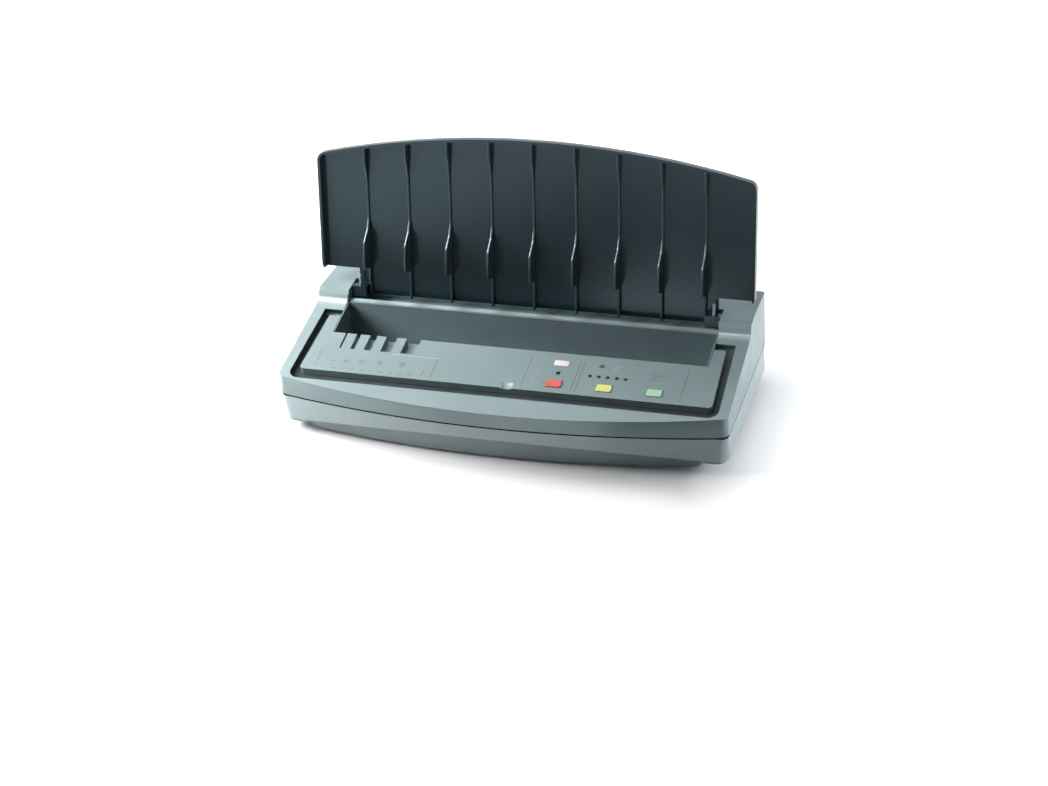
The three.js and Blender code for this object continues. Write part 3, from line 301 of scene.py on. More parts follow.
def bareMetal(name, color, rough, brush, streak, depth):
    # brush: how the streaks are stretched; streak: how fine they are; depth: of the scratches, in mm
    wear = metalWear
    material, tree, shader = newMaterial(name)
    place = objectPlace(tree)
    streaks = noise(objectPlace(tree, brush), streak, detail=3)
    base = linear(color)
    stain = spread(noise(place, wear["stainScale"], detail=4), 0, 1)
    color = blendColors(stain, *(shade(base, share) for share in wear["stains"]))
    color = blendColors(spread(streaks, 0, wear["streaks"]), color, shade(base, wear["streakShade"]))
    rubbed = wearAndGlint(place, dict(edgeWearAndGlint, reach=wear["reach"]))
    color = blendColors(times(rubbed, wear["rub"]), color, shade(base, wear["rubShade"]))
    feed(shader, {"Base Color": color, "Metallic": 1.0,
                  "Roughness": spread(streaks, rough - wear["smoother"], rough + wear["rougher"])})
    graze(shader, streaks, depth, wear["scratch"])
    return material


screwSteel = bareMetal("zinc plated steel", (176, 178, 176), rough=0.32, brush=(1, 1, 0.2), streak=900, depth=0.02)
pinSteel = bareMetal("ground pin steel", (168, 170, 172), rough=0.25, brush=(0.1, 1, 1), streak=1200, depth=0.01)
plateAluminium = bareMetal("heater plate aluminium", (150, 156, 158), rough=0.4, brush=(0.04, 1, 1), streak=1400,
                           depth=0.03)
trayAluminium = bareMetal("pressed tray aluminium", (166, 168, 168), rough=0.45, brush=(1, 0.1, 1), streak=500,
                          depth=0.03)
coreSteel = bareMetal("transformer plates", (96, 92, 88), rough=0.5, brush=(0.2, 0.2, 6), streak=300, depth=0.08)
sleeveGrey = bareMetal("peg sleeve steel", (128, 142, 146), rough=0.45, brush=(1, 1, 0.2), streak=900, depth=0.01)

# The sharpness of the three patterns, and the spots and the sheen over them
layers = {"tracks": (0.03, 0.05), "bands": (0.55, 0.7), "bandBend": 0.4, "fibreDetail": 6, "spotScale": 60,
          "spots": 0.3, "spotShade": 0.6, "sheenScale": 300, "sheen": 0.07, "relief": 0.7}


def layered(name, pattern, color, second, scale, rough, fibre, depth, stretch=(1, 1, 1)):
    # A board, a felt or a sheet of mica: two colours in a pattern, and a rough or fibrous surface
    material, tree, shader = newMaterial(name)
    place = objectPlace(tree, stretch)
    given = {"Vector": place, "Scale": scale}
    if pattern == "tracks":
        cells = step(tree, "ShaderNodeTexVoronoi", given, distance="CHEBYCHEV", feature="DISTANCE_TO_EDGE")
        drawn = spread(cells["Distance"], 1, 0, *layers["tracks"])
    elif pattern == "bands":
        wave = step(tree, "ShaderNodeTexWave", dict(given, Distortion=layers["bandBend"]))
        drawn = spread(wave["Fac"], 0, 1, *layers["bands"])
    else:
        drawn = spread(noise(place, scale, layers["fibreDetail"]), 0, 1)
    base = linear(color)
    color = blendColors(drawn, base, linear(second))
    spots = spread(noise(place, layers["spotScale"], detail=3), 0, layers["spots"])
    color = blendColors(spots, color, shade(base, layers["spotShade"]))
    sheen = spread(noise(place, layers["sheenScale"]), rough - layers["sheen"], rough + layers["sheen"])
    feed(shader, {"Base Color": color, "Roughness": sheen})
    graze(shader, plus(drawn, noise(place, fibre, detail=3)), depth, layers["relief"])
    return material


boardGreen = layered("circuit board", "tracks", (24, 82, 52), (52, 128, 84), scale=180, rough=0.38, fibre=900,
                     depth=0.05)
padFelt = layered("insulation felt", "fibres", (222, 218, 204), (184, 178, 160), scale=700, rough=0.92, fibre=2400,
                  depth=0.35, stretch=(0.35, 1, 1))
micaSheet = layered("mica with its winding", "bands", (158, 132, 92), (190, 186, 176), scale=90, rough=0.45,
                    fibre=800, depth=0.08)
print("finishes ready")


# How a piece is shaped
def addPiece(name, mesh, material):
    piece = bpy.data.objects.new(name, mesh)
    bpy.context.scene.collection.objects.link(piece)
    mesh.materials.append(material)
    for face in mesh.polygons:
        face.use_smooth = True
    return piece


def plainMesh(piece):
    bpy.context.view_layer.update()
    shown = piece.evaluated_get(bpy.context.evaluated_depsgraph_get())
    mesh = bpy.data.meshes.new_from_object(shown)
    piece.modifiers.clear()
    piece.data = mesh


def evenShading(piece, angle=55):
    piece.data.set_sharp_from_angle(angle=math.radians(angle))
    even = piece.modifiers.new("even shading", "WEIGHTED_NORMAL")
    even.keep_sharp = True
    even.weight = 60
    plainMesh(piece)


def meshFrom(shape, name, matrix=None):
    shape.verts.index_update()
    points = [v.co.copy() for v in shape.verts]
    faces = [[v.index for v in face.verts] for face in shape.faces]
    shape.free()
    mesh = bpy.data.meshes.new(name)
    mesh.from_pydata(points, [], faces)
    if matrix is not None:
        mesh.transform(matrix)
    mesh.update()
    return mesh


def joinRings(shape, low, high):
    count = len(low)
    for i in range(count):
        j = (i + 1) % count
        shape.faces.new((low[i], low[j], high[j], high[i]))


def onDeck(piece, across, along):
    piece.data.transform(deckMatrix @ Matrix.Translation((across * mm, along * mm, 0)))


# Cleaning before the edges are rounded: points this close (mm) and faces this level (degrees) become one
cleaning = {"merge": 0.003, "level": 0.5}


def softened(node, name, body, slot, material, soft):
    # A CAD node's shape with rounded edges; soft: the rounding in mm, its steps, the angle that counts as an edge
    shape = bmesh.new()
    shape.from_mesh(nodes[node].data)
    bmesh.ops.remove_doubles(shape, verts=shape.verts, dist=cleaning["merge"] * mm)
    bmesh.ops.dissolve_limit(shape, angle_limit=math.radians(cleaning["level"]), verts=shape.verts,
                             edges=shape.edges)
    bmesh.ops.triangulate(shape, faces=shape.faces, quad_method="BEAUTY", ngon_method="BEAUTY")
    piece = addPiece(name, meshFrom(shape, name), material)
    width, steps, angle = soft
    rounding = piece.modifiers.new("rounded edges", "BEVEL")
    rounding.width = width * mm
    rounding.segments = steps
    rounding.limit_method = "ANGLE"
    rounding.angle_limit = math.radians(angle)
    rounding.use_clamp_overlap = True
    rounding.miter_outer = "MITER_ARC"
    plainMesh(piece)
    evenShading(piece)
    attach(piece, body)
    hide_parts(node)


def roundedRing(halfX, halfY, radius, height, count):
    # Points round a rounded rectangle, evenly by angle, so that rings of any shape join one to one
    radius = min(radius, halfX, halfY)
    tiny = 1e-9
    points = []
    for i in range(count):
        angle = tau * i / count
        dx, dy = math.cos(angle), math.sin(angle)
        cornerX, cornerY = halfX - radius, halfY - radius
        reach = min(halfX / max(abs(dx), tiny), halfY / max(abs(dy), tiny))
        px, py = abs(dx) * reach, abs(dy) * reach
        if px > cornerX and py > cornerY:
            along = abs(dx) * cornerX + abs(dy) * cornerY
            off = cornerX ** 2 + cornerY ** 2 - radius ** 2
            reach = along + math.sqrt(max(along ** 2 - off, 0))
            px, py = abs(dx) * reach, abs(dy) * reach
        points.append((math.copysign(px, dx), math.copysign(py, dy), height))
    return points


def lofted(name, rings, matrix=None, centre=(0, 0), count=40):
    # A closed solid through rounded rectangles, from the bottom up: half x, half y, corner radius, height
    shape = bmesh.new()
    last = None
    for given in rings:
        ring = [shape.verts.new(((x + centre[0]) * mm, (y + centre[1]) * mm, z * mm))
                for x, y, z in roundedRing(*given, count)]
        if last is None:
            shape.faces.new(list(reversed(ring)))
        else:
            joinRings(shape, last, ring)
        last = ring
    shape.faces.new(last)
    return meshFrom(shape, name, matrix)


def roundRings(rings):
    return [(size, size, size, height) for size, height in rings]


def turned(name, outline, count=28):
    # A closed solid of revolution about z from (radius, height) pairs, bottom to top; both ends lie on the axis
    shape = bmesh.new()
    rings = []
    for radius, height in outline:
        turns = [tau * i / count for i in range(count)] if radius else [0]
        rings.append([shape.verts.new((radius * math.cos(turn) * mm, radius * math.sin(turn) * mm, height * mm))
                      for turn in turns])
    for low, high in zip(rings, rings[1:]):
        if len(low) == len(high):
            joinRings(shape, low, high)
            continue
        for i in range(count):
            j = (i + 1) % count
            shape.faces.new((low[0], high[j], high[i]) if len(low) == 1 else (low[i], low[j], high[0]))
    return meshFrom(shape, name)


# Casing, panel, cover and trough: the CAD's shapes with rounded edges
softEdges = {"casing": (0.8, 3, 20), "base": (0.8, 3, 34), "panel": (0.7, 3, 32), "cover": (0.6, 3, 32),
             "small": (0.4, 2, 32)}
# CAD node: its piece, body, slot, finish and edges
shells = {
    "upper_casing": ("casing_top", "casing", "casing", silver, softEdges["casing"]),
    "lower_casing": ("casing_base", "casing", "casing", silverBase, softEdges["base"]),
    "control_panel": ("panel_face", "casing", "panel", panelGrey, softEdges["panel"]),
    "trough_liner": ("trough_walls", "casing", "liner", troughGrey, softEdges["small"]),
    "heater_plate": ("heater_face", "casing", "aluminium", plateAluminium, softEdges["small"]),
    "mains_inlet": ("mains_socket_body", "casing", "black_plastic", plainBlack, softEdges["small"]),
    "cover": ("cover_plate", "cover", "cover", smokeGrey, softEdges["cover"])}
for node, made in shells.items():
    softened(node, *made)
print("casing, panel, trough and cover shaped")


# The three push buttons
button = {
    "halfX": 6.85, "halfY": 4.35, "proud": 1.0, "under": -2.8, "flange": 1.2, "lip": 1.1, "stem": 1.7,
    "stemLength": 3.5, "stemRound": 0.3, "radius": 0.9, "dish": 0.25, "along": 47.5, "shadeAngle": 40,
    "across": {"red": 46.9, "yellow": 92.8, "green": 138.7},
    # inset and drop of each ring round the top's edge
    "edge": [(0, 0.45), (0.06, 0.22), (0.22, 0.06), (0.5, 0), (0.95, 0.03)],
    # shares of the half sizes, the radius and the dish for each ring of the hollow
    "hollow": [(0.72, 0.66, 1.4, 0.55), (0.4, 0.36, 1.2, 0.9), (0.12, 0.12, 0.5, 1)]}


def makeButton(color):
    b = button
    x, y, r, stem, top = b["halfX"], b["halfY"], b["radius"], b["stem"], b["proud"]
    bottom = b["under"] - b["flange"]
    low = bottom - b["stemLength"]
    rings = [(stem - b["stemRound"], stem - b["stemRound"], stem, low), (stem, stem, stem, low + b["stemRound"]),
             (stem, stem, stem, bottom)]
    rings += [(x + b["lip"], y + b["lip"], r + b["lip"], height) for height in (bottom, b["under"])]
    rings += [(x, y, r, b["under"])]
    rings += [(x - inset, y - inset, r, top - drop) for inset, drop in b["edge"]]
    rings += [(x * wide, y * deep, r * bend, top - b["dish"] * down) for wide, deep, bend, down in b["hollow"]]
    mesh = lofted(color + "_key", rings, deckMatrix, (b["across"][color], b["along"]))
    piece = addPiece(color + "_key", mesh, smallPlastic(color + " key plastic", color=keyColors[color]))
    evenShading(piece, b["shadeAngle"])
    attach(piece, color + "_button")
    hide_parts(color + "_button")


for color in keyColors:
    makeButton(color)
print("buttons made")

# The white window and the lamps
window = {
    "halfX": 7.0, "halfY": 3.4, "lip": 1.1, "top": 0.3, "crown": 0.35, "under": -2.8, "thickness": 2.0,
    "centre": (46.9, 75.4), "radius": 0.7, "shadeAngle": 40,
    # inset and rise of each ring round the edge, then shares of the half sizes and of the crown
    "edge": [(0, -0.15), (0.1, -0.03), (0.35, 0.05)],
    "bulge": [(0.75, 0.7, 0.75), (0.4, 0.4, 1), (0.1, 0.1, 1)]}


def makeWindow():
    w = window
    x, y, r, top = w["halfX"], w["halfY"], w["radius"], w["top"]
    rings = [(x + w["lip"], y + w["lip"], r, height) for height in (w["under"] - w["thickness"], w["under"])]
    rings += [(x, y, r, w["under"])]
    rings += [(x - inset, y - inset, r, top + rise) for inset, rise in w["edge"]]
    rings += [(x * wide, y * deep, r, top + w["crown"] * rise) for wide, deep, rise in w["bulge"]]
    piece = addPiece("indicator_pane", lofted("indicator_pane", rings, deckMatrix, w["centre"]), windowWhite)
    evenShading(piece, w["shadeAngle"])
    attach(piece, "casing")
    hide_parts("indicator_window")


makeWindow()

lamp = {
    "status": (46.9, 62.0), "statusRadius": 1.45, "collar": 2.5, "under": -2.8, "thickness": 2.0, "dome": 0.75,
    "rowCentre": (92.8, 62.0), "rowRadius": 1.2, "rowDepth": 2.6, "rowDome": 0.65, "row": {"Count": 5, "Pitch": 8.2},
    "sides": 24, "shadeAngle": 45, "leans": (8, 28, 48, 66, 80),
    # the thin rim over the opening's edge: its radii, its under and upper side, how its edge is rounded
    "statusRim": 2.2, "rowRim": 1.85, "rimLow": 0.04, "rimHigh": 0.14, "rimInset": 0.12, "rimRise": 0.1}


def domeRings(radius, base, crown, rim):
    # a stem that comes up through the panel, a thin rim and the dome
    low, high = lamp["rimLow"], lamp["rimHigh"]
    rings = [(radius, base), (radius, low), (rim, low), (rim, high), (rim - lamp["rimInset"], high + lamp["rimRise"])]
    for lean in lamp["leans"]:
        angle = math.radians(lean)
        rings.append((radius * math.cos(angle), high + crown * math.sin(angle)))
    return roundRings(rings)


def makeStatusLamp():
    rings = roundRings([(lamp["collar"], lamp["under"] - lamp["thickness"]), (lamp["collar"], lamp["under"])])
    rings += domeRings(lamp["statusRadius"], lamp["under"], lamp["dome"], lamp["statusRim"])
    piece = addPiece("status_lens", lofted("status_lens", rings, deckMatrix, lamp["status"], lamp["sides"]), lensDark)
    evenShading(piece, lamp["shadeAngle"])
    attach(piece, "casing")
    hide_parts("status_light")


makeStatusLamp()


# How one shape grows into many by a geometry node tree
def newGrowth(name, inputs):
    # inputs: the kind of each setting; the shape comes before them and its finish after them
    tree = bpy.data.node_groups.new(name, "GeometryNodeTree")
    for label, kind in [("Shape", "Geometry"), *inputs.items(), ("Finish", "Material")]:
        tree.interface.new_socket(name=label, in_out="INPUT", socket_type="NodeSocket" + kind)
    tree.interface.new_socket(name="Shape", in_out="OUTPUT", socket_type="NodeSocketGeometry")
    return tree, tree.nodes.new("NodeGroupInput").outputs, tree.nodes.new("NodeGroupOutput")


def finishGrowth(geometry, given, end):
    finish = {"Geometry": geometry, "Material": given["Finish"]}
    feed(end, {"Shape": step(geometry.id_data, "GeometryNodeSetMaterial", finish)["Geometry"]})


def grow(piece, tree, values):
    # values: counts and seeds as they are, lengths and places in mm
    values = dict(values, Finish=piece.data.materials[0])
    modifier = piece.modifiers.new("growth", "NODES")
    modifier.node_group = tree
    for socket in tree.interface.items_tree:
        if socket.in_out == "INPUT" and socket.name in values:
            value = values[socket.name]
            if socket.socket_type == "NodeSocketFloat":
                value = value * mm
            elif socket.socket_type == "NodeSocketVector":
                value = [part * mm for part in value]
            modifier[socket.identifier] = value
    plainMesh(piece)


def combined(**parts):
    return step(next(iter(parts.values())).id_data, "ShaderNodeCombineXYZ", parts)[0]


def moved(geometry, offset):
    return step(geometry.id_data, "GeometryNodeSetPosition", {"Geometry": geometry, "Offset": offset})["Geometry"]


def copied(points, shape, **more):
    # the shape at every point, as geometry of its own
    tree = points.id_data
    copies = step(tree, "GeometryNodeInstanceOnPoints", dict(more, Points=points, Instance=shape))["Instances"]
    return step(tree, "GeometryNodeRealizeInstances", {"Geometry": copies})["Geometry"]


def rowLength(count, pitch):
    return times(minus(count, 1), pitch)


def inRow(given):
    # the shape repeated along x, centred on its own middle
    start = times(rowLength(given["Count"], given["Pitch"]), -0.5)
    line = {"Count": given["Count"], "Start Location": combined(X=start), "Offset": combined(X=given["Pitch"])}
    return copied(step(start.id_data, "GeometryNodeMeshLine", line)["Mesh"], given["Shape"])


def atCorners(given, shape):
    # the shape at each of the four corners of a rectangle
    sides = {"Size X": given["Length"], "Size Y": given["Depth"], "Vertices X": 2, "Vertices Y": 2}
    grid = step(shape.id_data, "GeometryNodeMeshGrid", sides)["Mesh"]
    return copied(moved(grid, given["Middle"]), shape)


def makeLightRow():
    tree, given, end = newGrowth("row", {"Count": "Int", "Pitch": "Float"})
    finishGrowth(inRow(given), given, end)
    rings = domeRings(lamp["rowRadius"], -lamp["rowDepth"], lamp["rowDome"], lamp["rowRim"])
    piece = addPiece("light_row", lofted("light_row", rings, count=lamp["sides"]), lensDark)
    grow(piece, tree, lamp["row"])
    onDeck(piece, *lamp["rowCentre"])
    evenShading(piece, lamp["shadeAngle"])
    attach(piece, "casing")


makeLightRow()
print("window and lamps made")

# Printed marks on the panel, with a painted highlight line and painted glints drawn the same way
ink = {"proud": 0.045, "sunk": 0.12, "endSteps": 4, "shadeAngle": 30}
marks = {
    "width": 0.5,
    "solid": [(-67.8, 64.5, -67.8, 40.2), (63.9, 80.5, 63.9, 40.2), (67.6, 79.2, 67.6, 40.2),
              (163.0, 84.2, 163.0, 39.4), (-76.5, 48.6, -76.5, 40.8)],
    # both ends, how many dashes, the share of each that is printed
    "dashed": [(-179.8, 64.2, -179.8, 38.9, 11, 0.62), (17.9, 79.9, 17.9, 39.0, 15, 0.62),
               (-164.0, 41.1, -80.0, 41.1, 9, 0.42)],
    # stacks of one to five strokes
    "stacks": {"across": (-164.3, -152.2, -137.6, -119.7, -98.4), "length": 4.6, "from": 50.4, "pitch": 1.55,
               "width": 0.42},
    # a painted highlight line along a recess edge, a small stack above the lamp row, a small clock beside it and
    # painted glints by the keys: ink, width, strokes
    "single": {
        # painted highlight: a light line where the edge of a recess catches the light
        "painted_highlight_line": (lightInkAndHighlight, 0.5, [(-112.5, 65.9, -67.8, 65.9)]),
        "printed_dark_mark": (inkDark, 1.4, [(81.9, 75.0, 86.5, 75.0), (82.7, 76.5, 85.7, 76.5),
                                             (83.5, 78.0, 84.9, 78.0)]),
        "printed_clock": (lightInkAndHighlight, 0.6, [(96.6, 74.0, 98.2, 76.0), (98.2, 76.0, 100.4, 78.2),
                                          (95.6, 73.6, 96.6, 74.0)]),
        # painted glints: small light strokes where the keys' edges catch the light
        "painted_glint_strokes": (lightInkAndHighlight, 0.5, [(26.6, 59.4, 28.8, 58.6), (26.0, 48.8, 27.4, 47.6),
                                                  (30.6, 46.6, 31.8, 45.8), (82.1, 47.4, 82.9, 46.8),
                                                  (127.2, 50.4, 128.6, 49.8)])}}


def printed(name, material, width, strokes):
    # strokes: (x0, along0, x1, along1) in mm on the deck; each is a thin closed bar with rounded ends
    shape = bmesh.new()
    half = width / 2
    for x0, a0, x1, a1 in strokes:
        turn = math.atan2(a1 - a0, x1 - x0)
        outline = []
        for (cx, cy), first in (((x1, a1), turn - math.pi / 2), ((x0, a0), turn + math.pi / 2)):
            for i in range(ink["endSteps"] + 1):
                angle = first + math.pi * i / ink["endSteps"]
                outline.append((cx + half * math.cos(angle), cy + half * math.sin(angle)))
        low, high = ([shape.verts.new((x * mm, y * mm, z * mm)) for x, y in outline]
                     for z in (-ink["sunk"], ink["proud"]))
        shape.faces.new(list(reversed(low)))
        shape.faces.new(high)
        joinRings(shape, low, high)
    piece = addPiece(name, meshFrom(shape, name, deckMatrix), material)
    evenShading(piece, ink["shadeAngle"])
    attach(piece, "casing")


def dashes(x0, a0, x1, a1, count, share):
    made = []
    for i in range(count):
        start, stop = i / count, (i + share) / count
        made.append((x0 + (x1 - x0) * start, a0 + (a1 - a0) * start, x0 + (x1 - x0) * stop, a0 + (a1 - a0) * stop))
    return made


def makeMarks():
    lines = list(marks["solid"])
    for row in marks["dashed"]:
        lines += dashes(*row)
    printed("printed_lines", inkGrey, marks["width"], lines)
    stacks = marks["stacks"]
    half = stacks["length"] / 2
    levels = [stacks["from"] + i * stacks["pitch"] for i in range(len(stacks["across"]))]
    strokes = [(x - half, level, x + half, level) for i, x in enumerate(stacks["across"]) for level in levels[:i + 1]]
    printed("printed_sheet_stacks", inkGrey, stacks["width"], strokes)
    for name, given in marks["single"].items():
        printed(name, *given)


makeMarks()

patch = {"field": {"Columns": 6, "Rows": 4, "Pitch X": 2.35, "Pitch Y": 2.9, "Seed": 5}, "centre": (136.4, 69.0),
         "radius": 0.62, "top": 0.7, "sides": 10, "sizes": (0.6, 1.15)}


def makeDotPatch():
    # dots over the sounder: a staggered field, grown row by row from one dot
    tree, given, end = newGrowth("dot field", {"Columns": "Int", "Rows": "Int", "Pitch X": "Float",
                                               "Pitch Y": "Float", "Seed": "Int"})
    grid = step(tree, "GeometryNodeMeshGrid", {
        "Size X": rowLength(given["Columns"], given["Pitch X"]), "Size Y": rowLength(given["Rows"], given["Pitch Y"]),
        "Vertices X": given["Columns"], "Vertices Y": given["Rows"]})["Mesh"]
    odd = maths("MODULO", step(tree, "GeometryNodeInputIndex")[0], 2)
    staggered = moved(grid, combined(X=times(odd, given["Pitch X"])))
    least, most = patch["sizes"]
    size = step(tree, "FunctionNodeRandomValue", {"Seed": given["Seed"], 2: least, 3: most})[1]
    finishGrowth(copied(staggered, given["Shape"], Scale=size), given, end)
    r = patch["radius"]
    rings = [(r, r, r, -ink["sunk"]), (r, r, r, 0), (r * patch["top"], r * patch["top"], r, ink["proud"])]
    piece = addPiece("printed_dot_patch", lofted("dot", rings, count=patch["sides"]), inkDark)
    grow(piece, tree, patch["field"])
    onDeck(piece, *patch["centre"])
    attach(piece, "casing")


makeDotPatch()
print("panel marks printed")


# The cover's ribs
rib = {
    "count": 9, "thickness": 2.0, "top": 153.2, "edge": 0.55, "root": 0.3, "innerFace": 6.5, "cutShare": 0.48,
    "bendSteps": 6, "straight": 0.02, "shadeAngle": 50,
    "growth": {"Pitch": 40.4, "Arc Radius": 878.0, "Rise From": 72.0, "Rise To": 104.0},
    # depth from the cover's inner face, height above the hinge's axis, corner radius
    "profile": [(4.5, -6.5, 1.2), (4.5, 21.6, 1.5), (17.6, 25.4, 1.5), (18.0, 38.8, 14.0), (16.5, 50.6, 9.0),
                (6.2, 60.6, 9.0), (1.7, 70.0, 12.0), (1.5, 97.3, 20.0), (1.9, 122.0, 24.0), (7.2, 141.4, 10.0),
                (7.4, 153.2, 0.8)]}


def roundedOutline(points):
    # (x, y, radius) points to an outline whose corners bend softly
    made = []
    steps = rib["bendSteps"]
    for i, (x, y, radius) in enumerate(points):
        here = Vector((x, y))
        before, after = Vector(points[i - 1][:2]) - here, Vector(points[(i + 1) % len(points)][:2]) - here
        bend = before.angle(after)
        if radius <= 0 or bend > math.pi - rib["straight"]:
            made.append(here)
            continue
        cut = min(radius / math.tan(bend / 2), before.length * rib["cutShare"], after.length * rib["cutShare"])
        start, stop = here + before.normalized() * cut, here + after.normalized() * cut
        for k in range(steps + 1):
            t = k / steps
            made.append(start * (1 - t) ** 2 + here * 2 * t * (1 - t) + stop * t ** 2)
    return made


def ribShape():
    foot, head = (rib["root"], rib["profile"][0][1], 0), (rib["root"], rib["top"], 0)
    points = roundedOutline([foot] + rib["profile"] + [head])
    shape = bmesh.new()
    half = rib["thickness"] / 2 * mm
    left, right = ([shape.verts.new((x, (rib["innerFace"] - p.x) * mm, p.y * mm)) for p in points]
                   for x in (-half, half))
    low = shape.faces.new(left)
    high = shape.faces.new(list(reversed(right)))
    count = len(points)
    for i in range(count):
        j = (i + 1) % count
        shape.faces.new((left[j], left[i], right[i], right[j]))
    rims = [edge for face in (low, high) for edge in face.edges]
    bmesh.ops.recalc_face_normals(shape, faces=shape.faces)
    bmesh.ops.bevel(shape, geom=rims, offset=rib["edge"] * mm, segments=2, profile=0.5, affect="EDGES",
                    clamp_overlap=True)
    return meshFrom(shape, "rib")


def ribGrowth():
    # repeats one rib across the cover and draws the tops of the outer ones down to the cover's arc
    tree, given, end = newGrowth("ribs", {"Count": "Int", "Pitch": "Float", "Arc Radius": "Float",
                                          "Rise From": "Float", "Rise To": "Float"})
    x, _, z = axes(step(tree, "GeometryNodeInputPosition")[0])
    radius = given["Arc Radius"]
    drop = minus(maths("SQRT", minus(times(radius, radius), times(x, x))), radius)
    rise = {"Value": z, "From Min": given["Rise From"], "From Max": given["Rise To"]}
    share = step(tree, "ShaderNodeMapRange", rise, interpolation_type="SMOOTHSTEP")["Result"]
    finishGrowth(moved(inRow(given), combined(Z=times(drop, share))), given, end)
    return tree


def makeRibs():
    piece = addPiece("cover_ribs", ribShape(), ribGrey)
    grow(piece, ribGrowth(), dict(rib["growth"], Count=rib["count"]))
    piece.data.transform(coverMatrix)
    evenShading(piece, rib["shadeAngle"])
    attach(piece, "cover")
    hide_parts(*["cover_rib_%d" % (i + 1) for i in range(rib["count"])])


makeRibs()
print("ribs grown")


# A light sleeve on each of the small pegs that stand on the hinge blocks
peg = {"across": 170.45, "foot": 5.75, "top": 15.75, "radius": 1.2, "sides": 20, "shadeAngle": 40,
       # inset and lift of each ring, from the foot and then down from the top
       "low": [(0.14, 0), (0, 0.14)], "high": [(0, 0.35), (0.105, 0.105), (0.35, 0)]}


def makePegSleeves():
    rings = roundRings([(peg["radius"] - inset, peg["foot"] + lift) for inset, lift in peg["low"]]
                       + [(peg["radius"] - inset, peg["top"] - drop) for inset, drop in peg["high"]])
    for side, across in (("left", -peg["across"]), ("right", peg["across"])):
        name = "peg_sleeve_" + side
        piece = addPiece(name, lofted(name, rings, coverMatrix, (across, 0), peg["sides"]), sleeveGrey)
        evenShading(piece, peg["shadeAngle"])
        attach(piece, "cover")


makePegSleeves()
print("pegs sleeved")

# Feet and screws under the casing
foot = {
    "radius": 8.0, "height": 2.7, "plug": 2.6, "plugTop": 7.5, "edge": 0.5, "edgeRise": 0.3, "shoulder": 0.3,
    "plugRound": 0.4, "grooveIn": 0.5, "grooveOut": 0.72, "grooveSide": 0.04, "groove": 0.5, "shadeAngle": 35,
    "corners": {"Length": 330.0, "Depth": 136.0, "Middle": (0, 8.0, 0)}}
screw = {
    "headRadius": 3.4, "head": 7.8, "neck": 9.9, "shank": 1.7, "tip": 39.9, "taper": 2, "point": 0.35,
    "shadeAngle": 35,
    # share of the head's radius and height above its middle for each ring of the dome
    "dome": [(0.6, 0.0825), (0.88, 0.3025), (1, 0.77)],
    "growth": {"Slot Width": 0.9, "Slot Reach": 4.1, "Slot Depth": 1.3, "Length": 382.0, "Depth": 144.0,
               "Middle": (0, 14.0, 0)}}


def makeFeet():
    f = foot
    r, e, side = f["radius"], f["edge"], f["grooveSide"]
    outline = [(0, 0), (r * f["grooveIn"], 0), (r * (f["grooveIn"] + side), f["groove"]),
               (r * (f["grooveOut"] - side), f["groove"]), (r * f["grooveOut"], 0), (r - e, 0),
               (r - e * f["edgeRise"], e * f["edgeRise"]), (r, e), (r, f["height"] - f["shoulder"]),
               (r - f["shoulder"], f["height"]), (f["plug"], f["height"]), (f["plug"], f["plugTop"] - f["plugRound"]),
               (f["plug"] - f["plugRound"], f["plugTop"]), (0, f["plugTop"])]
    piece = addPiece("rubber_feet", turned("foot", outline), footRubber)
    tree, given, end = newGrowth("corners", {"Length": "Float", "Depth": "Float", "Middle": "Vector"})
    finishGrowth(atCorners(given, given["Shape"]), given, end)
    grow(piece, tree, f["corners"])
    evenShading(piece, f["shadeAngle"])
    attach(piece, "casing")
    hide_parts(*["rubber_foot_%s_%s" % (end, side) for end in ("front", "rear")
                         for side in ("left", "right")])


def screwGrowth():
    # cuts a cross into the head, then sets one screw at each corner
    sizes = ("Slot Width", "Slot Reach", "Slot Depth", "Head", "Length", "Depth")
    tree, given, end = newGrowth("cross head screws", dict({size: "Float" for size in sizes}, Middle="Vector"))
    tall = times(given["Slot Depth"], 2)
    bars = []
    for first, second in (("Slot Reach", "Slot Width"), ("Slot Width", "Slot Reach")):
        bar = step(tree, "GeometryNodeMeshCube", {"Size": combined(X=given[first], Y=given[second], Z=tall)})["Mesh"]
        bars.append(moved(bar, combined(Z=given["Head"])))
    cross = step(tree, "GeometryNodeMeshBoolean", {"Mesh 2": bars}, operation="UNION", solver="EXACT")["Mesh"]
    cut = step(tree, "GeometryNodeMeshBoolean", {"Mesh 1": given["Shape"], "Mesh 2": cross},
               operation="DIFFERENCE", solver="EXACT")["Mesh"]
    finishGrowth(atCorners(given, cut), given, end)
    return tree


def makeScrews():
    s = screw
    r = s["headRadius"]
    outline = [(0, s["head"])] + [(r * share, s["head"] + rise) for share, rise in s["dome"]]
    outline += [(r, s["neck"]), (s["shank"], s["neck"]), (s["shank"], s["tip"] - s["taper"]), (s["point"], s["tip"]),
                (0, s["tip"])]
    piece = addPiece("casing_screws", turned("screw", outline), screwSteel)
    grow(piece, screwGrowth(), dict(s["growth"], Head=s["head"]))
    evenShading(piece, s["shadeAngle"])
    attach(piece, "casing")
    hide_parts(*["casing_screw_%s_%s" % (end, side) for end in ("front", "rear")
                         for side in ("left", "right")])


makeFeet()
makeScrews()
print("feet and screws grown")

